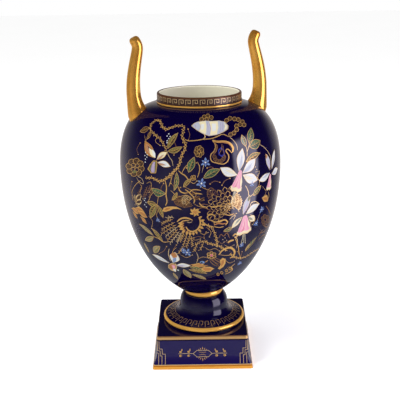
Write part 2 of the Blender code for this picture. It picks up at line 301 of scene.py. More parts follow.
class Moulding:
    """The plinth's sides laid out flat: across runs round them from the back's middle, up is height."""

    def __init__(self):
        self.straight = 2.0 * (PLINTH_FACE_HALF - PLINTH_CORNER)
        self.arc = PLINTH_CORNER * math.pi / 2.0
        self.around = 4.0 * (self.straight + self.arc)

    def half(self, height):
        """Half the plinth's width at a height."""
        flange = PLINTH_FACE_HALF + PLINTH_FLARE_SPREAD
        if height <= FLANGE_TOP:
            return flange + PLINTH_FLANGE_SLOPE * (1.0 - height / FLANGE_TOP)
        if height <= FLARE_TOP:
            share = (height - FLANGE_TOP) / (FLARE_TOP - FLANGE_TOP)
            return PLINTH_FACE_HALF + PLINTH_FLARE_SPREAD * (1.0 - share) ** 2
        if height <= FACE_TOP:
            return PLINTH_FACE_HALF
        return PLINTH_FACE_HALF - PLINTH_BAND_SLOPE * (height - FACE_TOP) / (PLINTH_TOP - FACE_TOP)

    def place(self, across, up):
        """Where a flat point comes to lie, and the normal there without its slope."""
        side_length = self.straight + self.arc
        side = math.floor((across + self.straight / 2.0) / side_length + 1e-9)
        along = across - side * side_length
        core = self.half(up) - PLINTH_CORNER
        if along <= self.straight / 2.0:
            share = along / (self.straight / 2.0)
            local = Vector((core * share, -core - PLINTH_CORNER, up))
            normal = Vector((0.0, -1.0, 0.0))
        else:
            angle = (along - self.straight / 2.0) / PLINTH_CORNER
            normal = Vector((math.sin(angle), -math.cos(angle), 0.0))
            local = Vector((core, -core, up)) + normal * PLINTH_CORNER
        turn = Matrix.Rotation(side * math.pi / 2.0, 3, "Z")
        return turn @ local + Vector((PLINTH_SHIFT, 0.0, 0.0)), turn @ normal

    def slope(self, low, high):
        """How steeply the side leans in between two heights."""
        return (self.half(low) - self.half(high)) / (high - low)

    def scale(self, flat):
        """How long a millimetre is on the flat sheet, the same everywhere."""
        return MM

    def columns(self):
        """Upright lines of the grid."""
        marks = []
        for side in range(-2, 3):
            middle = side * (self.straight + self.arc)
            marks += [middle + self.straight * (i / 12.0 - 0.5) for i in range(13)]
            marks += [middle + self.straight / 2.0 + self.arc * i / 4.0 for i in range(1, 4)]
        half = self.around / 2.0
        inside = sorted(m for m in marks if abs(m) < half - 1e-6)
        return [-half] + inside + [half]


class Painting:
    """Flat painted shapes, each over the ones before it."""

    def __init__(self, surface):
        self.surface = surface
        self.points = []
        self.edges = []
        self.faces = []
        self.inks = []
        self.cells = {}

    def mm(self, flat):
        """A millimetre on the flat sheet at a place."""
        return self.surface.scale(flat)

    def area(self, outline, ink):
        """A filled shape."""
        start, count = len(self.points), len(outline)
        self.points += outline
        self.edges += [(start + i, start + (i + 1) % count) for i in range(count)]
        for triangle in tessellate_polygon([[Vector((p.real, p.imag, 0.0)) for p in outline]]):
            self.faces.append([start + i for i in triangle])
            self.inks.append(ink)

    def band(self, left, right, ink):
        """A strip between two lines of as many points."""
        start, count = len(self.points), len(left)
        self.points += left + right
        self.edges += [(start, start + count), (start + count - 1, start + 2 * count - 1)]
        for a in range(start, start + count - 1):
            self.edges += [(a, a + 1), (a + count, a + count + 1)]
            self.faces += [[a, a + count, a + count + 1], [a, a + count + 1, a + 1]]
            self.inks += [ink, ink]

    def repeat(self, across):
        """Paint everything once more, further round."""
        count = len(self.points)
        self.points += [p + across for p in self.points]
        self.edges += [(a + count, b + count) for a, b in self.edges]
        self.faces += [[i + count for i in face] for face in self.faces]
        self.inks += self.inks

    def sort_faces(self):
        """Note which painted triangles reach into each small square of the sheet."""
        for index, face in enumerate(self.faces):
            xs = [int(self.points[i].real // CELL) for i in face]
            ys = [int(self.points[i].imag // CELL) for i in face]
            for x in range(min(xs), max(xs) + 1):
                for y in range(min(ys), max(ys) + 1):
                    self.cells.setdefault((x, y), []).append(index)

    def ink_at(self, spot, ground):
        """The topmost ink at a place on the sheet."""
        for index in reversed(self.cells.get((int(spot.real // CELL), int(spot.imag // CELL)), ())):
            a, b, c = [self.points[i] - spot for i in self.faces[index]]
            sides = [(p.conjugate() * q).imag for p, q in ((a, b), (b, c), (c, a))]
            if min(sides) >= 0.0 or max(sides) <= 0.0:
                return self.inks[index]
        return ground

    def line(self, points, width, ink, thin=0.45, steps=5):
        """A brush line through points, in millimetres of width, thinner at its ends."""
        path = smooth(points, steps)
        left, right = [], []
        last = len(path) - 1
        for i, here in enumerate(path):
            along = path[min(i + 1, last)] - path[max(i - 1, 0)]
            size = abs(along) or 1.0
            swell = thin + (1.0 - thin) * math.sin(math.pi * i / last) ** 0.6
            out = along / size * 1j * self.mm(here) * width / 2.0 * swell
            left.append(here + out)
            right.append(here - out)
        self.band(left, right, ink)

    def dot(self, centre, size, ink, stretch=1.0, corners=8):
        """A round or oval touch of the brush, in millimetres across."""
        half = self.mm(centre) * size / 2.0
        turns = [2 * math.pi * i / corners for i in range(corners)]
        self.area([centre + half * complex(math.cos(a), math.sin(a) * stretch) for a in turns], ink)

    def blade(self, base, tip, width, ink, bend=0.0, full=1.0, steps=9, grow=0.0):
        """A pointed petal or leaf; width and bend are shares of its length, grow in millimetres."""
        extra = grow * self.mm(base)
        length = abs(tip - base)
        axis = (tip - base) / length
        base, tip = base - axis * extra, tip + axis * extra * 1.6
        span = tip - base
        left, right = [], []
        for i in range(1, steps):
            t = i / steps
            swell = math.sin(math.pi * t**full) ** 1.12
            half = width * length / 2.0 * swell + extra * min(1.0, 3.0 * swell)
            middle = base + span * t + 1j * axis * bend * length * 4.0 * t * (1.0 - t)
            left.append(middle + 1j * axis * half)
            right.append(middle - 1j * axis * half)
        self.area([base] + right + [tip] + left[::-1], ink)


def smooth(points, steps):
    """A smooth path through flat points."""
    guides = [2 * points[0] - points[1]] + points + [2 * points[-1] - points[-2]]
    path = []
    for a, b, c, d in zip(guides, guides[1:], guides[2:], guides[3:]):
        for step in range(steps):
            t = step / steps
            path.append(0.5 * (2 * b + (c - a) * t + (2 * a - 5 * b + 4 * c - d) * t**2
                               + (3 * b - a - 3 * c + d) * t**3))
    path.append(guides[-2])
    return path


def lay(skin, painting, columns, rows, ground, put, creases=()):
    """Cut the painted shapes into a grid, keep the rows that are creases, and roll it up with put."""
    grid = [Vector((x, y)) for y in rows for x in columns]
    start = len(grid)
    flat = grid + [Vector((p.real, p.imag)) for p in painting.points]
    edges = [(a + start, b + start) for a, b in painting.edges]
    count = len(columns)
    edges += [(row * count + i, row * count + i + 1) for row in creases for i in range(count - 1)]
    made = delaunay_2d_cdt(flat, edges, [], 0, 1e-6, False)
    corners, triangles = made[0], made[2]
    painting.sort_faces()
    inks = []
    for face in triangles:
        middle = sum((corners[i] for i in face), Vector((0.0, 0.0))) / len(face)
        inks.append(painting.ink_at(complex(middle.x, middle.y), ground))
    put(skin, corners, triangles, inks)


def put_wheel(wheel):
    """How a turned surface takes its triangles."""
    def put(skin, corners, triangles, inks):
        placed = [wheel.place(c.x, c.y) for c in corners]
        skin.sheet([p for p, n in placed], [n for p, n in placed], triangles, inks)
    return put


def turn(skin, outline, ink, count, shift=0.0):
    """A plain turned sheet, from the lower or inner end of its outline; a point on the axis closes it."""
    last = len(outline) - 1
    angles = [math.pi * (2.0 * i / count - 1.0) for i in range(count)]
    points, normals, faces = [], [], []
    rows = []
    for index, point in enumerate(outline):
        along = (outline[min(index + 1, last)] - outline[max(index - 1, 0)]).normalized()
        if point.x < 1e-6:
            rows.append([len(points)] * count)
            points.append((shift, 0.0, point.y))
            normals.append((0.0, 0.0, -math.copysign(1.0, along.x)))
            continue
        rows.append(range(len(points), len(points) + count))
        for angle in angles:
            sine, cosine = math.sin(angle), math.cos(angle)
            points.append((point.x * sine + shift, -point.x * cosine, point.y))
            normals.append((along.y * sine, -along.y * cosine, -along.x))
    for low, high in zip(rows, rows[1:]):
        for i in range(count):
            j = (i + 1) % count
            ring = [low[i], low[j], high[j], high[i]]
            faces.append([c for k, c in enumerate(ring) if c != ring[k - 1]])
    skin.sheet(points, normals, faces, [ink] * len(faces))


def bead(low, high, height, steps):
    """A half-round bead's outline, from its foot to its top."""
    middle, half = (low + high) / 2.0, (high - low).length / 2.0
    angles = [math.pi * (step / steps - 0.5) for step in range(steps + 1)]
    return [middle + Vector((height * math.cos(a), half * math.sin(a))) for a in angles]


def bowl_outline(shoulder_steps, bowl_steps):
    """The outer face of the bowl, from the waist up to the neck."""
    from_neck, from_waist = towards(math.radians(-5.0), 0.0241), towards(math.radians(36.0), 0.0469)
    above_belly, below_belly = Vector((0.0, 0.0326)), Vector((0.0, -0.0434))
    shoulder = cubic(NECK, from_neck, above_belly, BELLY, shoulder_steps)
    bowl = cubic(BELLY, below_belly, from_waist, WAIST, bowl_steps)
    return [p.copy() for p in (shoulder + bowl[1:])[::-1]]


BODY = Wheel(bowl_outline(*OUTER_STEPS))


def radius_at(height):
    """The bowl's radius at a height, and 0 off the bowl."""
    if not WAIST.y <= height <= NECK.y:
        return 0.0
    return BODY.spot(BODY.up_at(height))[0].x


BODY_TABLE = [radius_at(WAIST.y + (NECK.y - WAIST.y) * i / TABLE_STEPS) for i in range(TABLE_STEPS + 1)]


def quick_radius(height):
    """The bowl's radius at a height from the table."""
    place = (height - WAIST.y) / (NECK.y - WAIST.y) * TABLE_STEPS
    if place < 0.0 or place >= TABLE_STEPS:
        return 0.0
    index = int(place)
    return BODY_TABLE[index] + (BODY_TABLE[index + 1] - BODY_TABLE[index]) * (place - index)


def outside(point):
    """How far outside the bowl a point is, at its own height."""
    return math.hypot(point.x, point.y) - quick_radius(point.z)


def at(x, y):
    """The flat point of the bowl that a pixel of the photograph shows, or the nearest one beside it."""
    dx, dy = x - HALF_PICTURE, y - HALF_PICTURE
    u = (dx * math.cos(ROLL) - dy * math.sin(ROLL)) / FOCAL_PIXELS
    w = -(dx * math.sin(ROLL) + dy * math.cos(ROLL)) / FOCAL_PIXELS
    sine, cosine = math.sin(PITCH), math.cos(PITCH)
    ray = Vector((u, w * sine + cosine, w * cosine - sine))
    near, best, best_gap = None, None, 1.0
    for step in range(RAY_STEPS):
        t = RAY_START + RAY_REACH * step / RAY_STEPS
        gap = outside(CAMERA + ray * t)
        if gap <= 0.0:
            near = t
            break
        if gap < best_gap:
            best, best_gap = t, gap
    if near is None:
        point = CAMERA + ray * best
    else:
        low, high = near - RAY_REACH / RAY_STEPS, near
        for _ in range(RAY_HALVINGS):
            middle = (low + high) / 2.0
            point = CAMERA + ray * middle
            if outside(point) > 0.0:
                low = middle
            else:
                high = middle
    return complex(math.atan2(point.x, -point.y), BODY.up_at(point.z))


def spots(*pixels):
    """Flat points for pixels given as x, y, x, y and so on."""
    return [at(x, y) for x, y in zip(pixels[::2], pixels[1::2])]


# Inks: colour, metallic, roughness
INKS = {
    "cobalt": ((0.0016, 0.0003, 0.0180), 0.0, 0.07),
    "gilt": (linear(216, 170, 94), 0.62, 0.34),
    "pale_gilt": (linear(216, 186, 132), 0.55, 0.38),
    "brown_gilt": (linear(136, 96, 58), 0.55, 0.42),
    "bright_gilt": (linear(246, 186, 88), 0.56, 0.20),
    "white": (linear(186, 188, 184), 0.0, 0.22),
    "cream": (linear(196, 186, 150), 0.0, 0.24),
    "pearl": (linear(150, 154, 164), 0.0, 0.24),
    "lilac": (linear(140, 122, 152), 0.0, 0.26),
    "pink": (linear(194, 134, 150), 0.0, 0.24),
    "rose": (linear(174, 88, 112), 0.0, 0.24),
    "leaf": (linear(48, 82, 54), 0.0, 0.26),
    "deep_leaf": (linear(20, 46, 40), 0.0, 0.26),
    "olive": (linear(92, 88, 44), 0.0, 0.28),
    "sage": (linear(112, 110, 84), 0.0, 0.28),
    "teal": (linear(66, 108, 108), 0.0, 0.28),
    "sky": (linear(92, 116, 156), 0.0, 0.24),
    "deep_sky": (linear(34, 40, 118), 0.0, 0.24),
    "orange": (linear(166, 110, 58), 0.3, 0.30),
    "umber": (linear(58, 36, 30), 0.3, 0.32),
    # The lip's gilding, darkened as a painted reflection of the dark surroundings
    "lip_gilt": (linear(104, 66, 42), 0.60, 0.35),
    "band_gilt": (linear(218, 174, 112), 0.66, 0.30),
    "flange_gilt": (linear(244, 172, 66), 0.50, 0.24),
    # A darker copy of the flange's gilding: painted shade
    "deep_gilt": (linear(206, 128, 34), 0.60, 0.24),
    "face_cobalt": (linear(20, 12, 62), 0.0, 0.09),
    "inside_glaze": (linear(236, 232, 210), 0.0, 0.16),
    "biscuit": (linear(206, 198, 182), 0.0, 0.60),
}


def node(tree, kind, values=None, **settings):
    """A new shader node with its settings and the values of its inputs."""
    made = tree.nodes.new("ShaderNode" + kind)
    for name, setting in settings.items():
        setattr(made, name, setting)
    for name, value in (values or {}).items():
        made.inputs[name].default_value = value
    return made


def wire(tree, *links):
    """Links between nodes, each given as a node and its output, and a node and its input."""
    for source, output, target, entry in links:
        tree.links.new(source.outputs[output], target.inputs[entry])


def ramp(tree, stops):
    """A colour ramp whose stops are given as position and colour."""
    made = node(tree, "ValToRGB")
    elements = made.color_ramp.elements
    while len(elements) < len(stops):
        elements.new(0.5)
    for element, (position, colour) in zip(elements, stops):
        element.position = position
        element.color = (*colour, 1.0)
    return made


def finish_material(name, colour, metallic, roughness, role):
    """A glazed or gilded surface whose gloss varies a little and whose face is faintly uneven."""
    material = bpy.data.materials.new(name)
    material.use_nodes = True
    tree = material.node_tree
    shader = tree.nodes["Principled BSDF"]
    shader.inputs["Base Color"].default_value = (*colour, 1.0)
    shader.inputs["Metallic"].default_value = metallic
    shader.inputs["IOR"].default_value = 1.5
    place = node(tree, "TexCoord")
    smudge = node(tree, "TexNoise", {"Scale": 26.0, "Detail": 4.0})
    gloss = node(tree, "MapRange", {"To Min": roughness * 0.75, "To Max": roughness * 1.35})
    waves = node(tree, "TexNoise", {"Scale": 70.0 if metallic < 0.5 else 160.0, "Detail": 2.0})
    bump = node(tree, "Bump", {"Strength": 0.10 if role == "ground" else 0.25, "Distance": 0.00015})
    wire(tree, (place, "Object", smudge, "Vector"), (place, "Object", waves, "Vector"),
         (smudge, "Fac", gloss, "Value"), (gloss, "Result", shader, "Roughness"),
         (waves, "Fac", bump, "Height"), (bump, "Normal", shader, "Normal"))
    return material


def horn_gold():
    """Burnished gilding: warm gold with redder and paler clouds."""
    material = finish_material("burnished_gilding", linear(240, 176, 76), 0.80, 0.12, "ground")
    tree = material.node_tree
    shader = tree.nodes["Principled BSDF"]
    place = next(n for n in tree.nodes if n.type == "TEX_COORD")
    clouds = node(tree, "TexNoise", {"Scale": 45.0, "Detail": 5.0})
    tint = ramp(tree, ((0.30, linear(228, 152, 54)), (0.72, linear(250, 192, 92))))
    wire(tree, (place, "Object", clouds, "Vector"), (clouds, "Fac", tint, "Fac"),
         (tint, "Color", shader, "Base Color"))
    return material


MATERIALS = {}
for ink_name, (ink_colour, ink_metal, ink_rough) in INKS.items():
    role = "ground" if ink_name in ("cobalt", "inside_glaze") else "paint"
    MATERIALS[ink_name] = finish_material(ink_name, ink_colour, ink_metal, ink_rough, role)


# Motifs of the decoration; art is the painting, and widths are in millimetres unless a line says otherwise
def leaf(art, base, tip, width, ink, bend):
    """A leaf with a gilt edge, a darker half and gilt veins."""
    art.blade(base, tip, width, "gilt", bend, 0.95, grow=0.32)
    art.blade(base, tip, width, ink, bend, 0.95)
    axis = tip - base
    side = 1j * axis
    dark = {"leaf": "deep_leaf", "teal": "deep_leaf", "sage": "olive"}.get(ink, "umber")
    inner_base, inner_tip = base + axis * 0.06 - side * width * 0.02, tip - axis * 0.10
    art.blade(inner_base, inner_tip, width * 0.42, dark, bend - width * 0.17)

    def rib(t):
        """A place on the middle rib."""
        return base + axis * t + side * bend * 4 * t * (1 - t)

    art.line([rib(t) for t in (0.0, 0.35, 0.7, 0.95)], 0.28, "gilt", thin=0.5, steps=3)
    for vein in range(3):
        t = 0.22 + 0.55 * vein / 3
        for hand in (1, -1):
            end = rib(t) + axis * 0.15 + side * hand * width * 0.33 * math.sin(math.pi * (t + 0.12))
            art.line([rib(t), (rib(t) + end) / 2 + axis * 0.02, end], 0.20, "gilt", steps=2)


def petal(art, base, tip, width, fill, shade, bend, edge="pale_gilt", full=1.1):
    """A sepal of a hanging flower, shaded from its root, with fine streaks."""
    art.blade(base, tip, width, edge, bend, full, grow=0.28)
    art.blade(base, tip, width, fill, bend, full)
    axis = tip - base
    side = 1j * axis
    art.blade(base + axis * 0.02, base + axis * 0.72, width * 0.52, shade, bend * 0.6 - width * 0.14, 0.9)
    for hand in (-1, 0, 1):
        start = base + axis * 0.12 + side * hand * width * 0.05
        end = base + axis * (0.84 - 0.08 * abs(hand)) + side * (hand * width * 0.20 + bend * 0.5)
        middle = base + axis * 0.48 + side * (hand * width * 0.19 + bend)
        art.line([start, middle, end], 0.22, "pearl" if fill != "pearl" else "white", steps=3)


def bell(art, top, foot, spread):
    """The hanging bell of a fuchsia: a pink skirt with rose folds and a pale hem."""
    axis = foot - top
    side = 1j * axis
    rim = [-0.5, -0.28, -0.02, 0.22, 0.5]
    drop = [0.93, 1.04, 0.97, 1.05, 0.92]
    hem = [top + axis * d + side * spread * r for r, d in zip(rim, drop)]
    left = top + axis * 0.45 - side * spread * 0.30
    right = top + axis * 0.45 + side * spread * 0.30
    crown = [top + side * spread * 0.12, top - axis * 0.04, top - side * spread * 0.12]
    outline = crown + [left] + hem + [right]
    grown = [top + (p - top) * 1.06 for p in outline]
    art.area(grown, "pale_gilt")
    art.area(outline, "pink")
    art.area([left + side * spread * 0.30, top + axis * 0.1, top + axis * 0.9 - side * spread * 0.06,
              top + axis * 0.9 - side * spread * 0.22], "rose")
    lift = [p - axis * 0.13 for p in hem]
    art.band(lift, hem, "cream")
    for r in (-0.36, -0.14, 0.10, 0.30):
        art.line([top + axis * 0.15 + side * spread * r * 0.3, top + axis * 0.55 + side * spread * r * 0.65,
                  top + axis * 0.92 + side * spread * r], 0.24, "rose" if abs(r) > 0.2 else "cream",
                 steps=3)
    art.blade(top + axis * 0.25 + side * spread * 0.2, top + axis * 0.85 + side * spread * 0.4, 0.2,
              "cream")


def stamens(art, top, foot, count, spread):
    """Fine threads that hang from a bell, each with a dot."""
    axis = foot - top
    for i in range(count):
        offset = 1j * axis * spread * (i / max(1, count - 1) - 0.5)
        end = foot + offset * (1.0 + 0.2 * (i % 2)) - axis * 0.1 * (i % 2)
        art.line([top + offset * 0.2, top + axis * 0.5 + offset * 0.6, end], 0.36, "cream", thin=0.8,
                 steps=3)
        art.dot(end, 0.9, "cream")


def floret(art, centre, size, turned):
    """A little blue flower with six pointed petals."""
    reach = art.mm(centre) * size / 2.0
    for i in range(6):
        way = cmath.exp(1j * (turned + 2 * math.pi * i / 6))
        length = reach * (1.0 if i % 2 else 0.82)
        art.blade(centre + way * reach * 0.12, centre + way * length, 0.46, "sky")
        art.blade(centre + way * reach * 0.16, centre + way * length * 0.62, 0.30, "deep_sky")
    art.dot(centre, size * 0.16, "white")


def walk(art, path, gap):
    """Places so many millimetres apart on a path: the place, the way on, a millimetre and the side."""
    run, side = 0.0, 1
    for before, after in zip(path, path[1:]):
        unit = art.mm(after)
        run += abs(after - before) / unit
        if run < gap:
            continue
        run = 0.0
        side = -side
        yield after, (after - before) / abs(after - before), unit, side


def knobbly(art, points, width=1.5):
    """A twisted gilt branch: dark lenses inside it and small thorns on both sides."""
    art.line(points, width, "gilt", thin=0.7, steps=6)
    for spot, way, unit, side in walk(art, smooth(points, 6), 2.0):
        art.blade(spot - way * unit * 0.85, spot + way * unit * 0.85, 0.62, "cobalt")
        root = spot + 1j * way * side * unit * width * 0.42
        art.blade(root, root + (1j * way * side + way * 0.5) * unit * 1.25, 0.62, "gilt", steps=5)
        other = spot - 1j * way * side * unit * width * 0.5
        art.dot(other, 0.75, "gilt", corners=6)


def feathers(art, ink, *rows, width=0.40, tooth=1.5):
    """Threads through pixels with teeth on both sides, as the stamens of the big blossoms."""
    for pixels in rows:
        points = spots(*pixels)
        art.line(points, width, ink, thin=0.7)
        for spot, way, unit, side in walk(art, smooth(points, 5), 0.95):
            out = (way * 0.75 + 1j * way * side) * unit * tooth
            hook = [spot, spot + out * 0.5, spot + out * 0.9 + way * unit * 0.3]
            art.line(hook, 0.42, ink, thin=0.75, steps=2)


def disc(art, x, y, across, tall, ink):
    """A round spot of a size in pixels."""
    turns = [2.0 * math.pi * i / 12 for i in range(12)]
    art.area([at(x + across * math.cos(a), y + tall * math.sin(a)) for a in turns], ink)


def lobes(art, x, y, reach, size, count, start, edge, fill, sweep=2.0 * math.pi, flat=1.0):
    """A ring of rounded lobes about a pixel; sizes are in pixels."""
    turns = [start + sweep * i / count for i in range(count)]
    centres = [(x + reach * flat * math.cos(a), y + reach * math.sin(a)) for a in turns]
    for cx, cy in centres:
        disc(art, cx, cy, size * flat, size, edge)
        disc(art, cx, cy, (size - 0.45) * flat, size - 0.45, fill)
        for k in (0, 2, 4):
            out = cmath.exp(1j * (k + cx))
            inner = at(cx + size * 0.15 * out.real * flat, cy + size * 0.15 * out.imag)
            outer = at(cx + size * 0.62 * out.real * flat, cy + size * 0.62 * out.imag)
            art.line([inner, outer], 0.34, edge, steps=1)


def ruffle(art, centre, size, start, sweep, fill, ink):
    """One frilled petal of a big gilt blossom, as a fan with four waves in its edge."""
    unit = art.mm(centre) * size
    frills, steps = 4, 16
    edge = []
    for i in range(steps + 1):
        angle = start + sweep * i / steps
        wave = 1.0 - 0.18 * (1.0 - abs(math.sin(math.pi * frills * i / steps)))
        edge.append(centre + cmath.exp(1j * angle) * unit * wave)
    art.area([centre] + edge, ink)
    middle = centre + cmath.exp(1j * (start + sweep / 2)) * unit * 0.48
    art.area([middle + (p - middle) * 0.86 for p in [centre] + edge], fill)
    for i in range(frills):
        way = cmath.exp(1j * (start + sweep * (i + 0.5) / frills))
        art.line([centre + way * unit * share for share in (0.30, 0.55, 0.80)], 0.30, ink, steps=2)


def layered_blades(art, under, over, *rows, short=False):
    """Blades from pixel to pixel, each with a second one over it, which ends halfway if it is short.

    Both are given as width, ink, bend and fullness.
    """
    for x, y, tip_x, tip_y in rows:
        art.blade(at(x, y), at(tip_x, tip_y), *under)
        if short:
            tip_x, tip_y = (x + tip_x) / 2, (y + tip_y) / 2
        art.blade(at(x, y), at(tip_x, tip_y), *over)


def strokes(art, width, ink, *rows):
    """Brush lines of one width and ink, each through its own pixels."""
    for pixels in rows:
        art.line(spots(*pixels), width, ink)


def petals(art, *rows):
    """Petals from pixel to pixel, each with its width, fill, shade and bend."""
    for x, y, tip_x, tip_y, *look in rows:
        petal(art, at(x, y), at(tip_x, tip_y), *look)


def clouds(art, size, *pixels):
    """Single round lobes at pixels."""
    for x, y in zip(pixels[::2], pixels[1::2]):
        lobes(art, x, y, 0.2, size, 1, 0.0, "gilt", "umber")


def tendrils(art, ink, *rows):
    """Fine stems, each given as its width and its pixels."""
    for width, *pixels in rows:
        art.line(spots(*pixels), width, ink, thin=0.6, steps=5)


def paint_stems(art):
    """Branches and stems, under the flowers."""
    knobbly(art, spots(150, 129.4, 150.6, 123.8, 156.3, 119.4, 160, 121.3, 161.9, 126.3, 166.3, 128.8,
                       172.5, 126.3, 178.8, 125, 184.4, 126.3))
    knobbly(art, spots(184, 126.5, 182.5, 131.3, 181.9, 137.5, 185, 143.8, 183.8, 150, 180.6, 156.3,
                       178.1, 165.6, 171.3, 173.1, 167.5, 176.9, 162.5, 180, 157.5, 180.6, 152.5, 177.5,
                       145, 177.5))
    knobbly(art, spots(150, 129.4, 153.8, 133.8, 158.8, 137.5, 163.1, 143.8, 165.6, 148.8), 1.2)
    tendrils(art, "gilt", (0.8, 184.4, 138.8, 188, 140.3, 195, 140, 202.5, 138.8, 210.6, 138.1, 217.5,
                           135.6, 222.5, 133.8, 228.8, 136.3))
    tendrils(art, "pale_gilt", (0.5, 229, 136.4, 233.5, 140.5, 236.3, 145, 237, 149.5))
    tendrils(art, "gilt", (0.8, 178.1, 170, 181, 173, 184.5, 175, 187.5, 178.8, 190, 181),
             (0.5, 181, 173, 184, 167.5, 187.5, 163.5), (0.6, 196.9, 161.3, 199, 166, 198.8, 171, 197, 177))
    tendrils(art, "pale_gilt", (0.45, 166, 149, 168, 155, 171.5, 160.5, 172.5, 165.5),
             (0.55, 246.6, 156, 246.5, 149.5, 244.8, 144), (0.45, 246.8, 151, 248.5, 145, 249.2, 142),
             (0.55, 259.7, 144, 265, 148.1, 269.4, 155, 270.8, 162.5, 270.3, 169.4),
             (0.5, 245, 185, 247.6, 190.3, 248.3, 196), (0.45, 247, 199, 251, 195, 254.5, 192),
             (0.55, 168.7, 248.2, 168, 254, 170, 260.5), (0.35, 255.5, 180, 257.5, 176, 259, 170),
             (0.35, 259.7, 212, 257.5, 218, 256, 223))
    knobbly(art, spots(258.5, 248, 254, 250.5, 249, 254, 244, 256.8, 239.7, 257.6, 234.5, 256.7, 229, 253,
                       223, 248, 218, 245.4, 213, 244, 208.2, 242.9, 203.6, 240.9, 199, 241.6, 195, 244.2),
            1.3)
    knobbly(art, spots(216.7, 244, 216, 238, 214.2, 233, 212.1, 228.4, 207.5, 225, 202.2, 223.2), 1.1)
    tendrils(art, "gilt", (0.7, 240, 257, 238.5, 252, 238, 247, 237, 243.5, 234.8, 238))
    tendrils(art, "pale_gilt", (0.5, 136, 177, 138.5, 181, 143, 183, 141, 178, 137, 175.8))
    tendrils(art, "gilt", (0.5, 140, 180, 134.5, 185, 131.5, 192, 132.5, 200),
             (0.9, 164.5, 180, 166, 187, 165.5, 194, 166.5, 201, 165, 205),
             (0.5, 172, 171, 171, 178, 168.5, 186), (0.7, 152.9, 236, 158, 238, 163, 241.5, 169, 241),
             (0.45, 154.5, 190, 150, 195.5, 147.5, 203), (0.4, 156.5, 206, 157.4, 199, 158.5, 194))
    tendrils(art, "pale_gilt", (0.4, 196, 252, 197.6, 257, 196, 263))
    tendrils(art, "gilt", (0.6, 219.5, 215.5, 224, 214, 229, 214.8, 233.5, 213))
    tendrils(art, "pale_gilt", (0.5, 229, 219, 232, 216, 235, 215, 233, 219),
             (0.3, 201.5, 172, 203, 166, 204.5, 160))


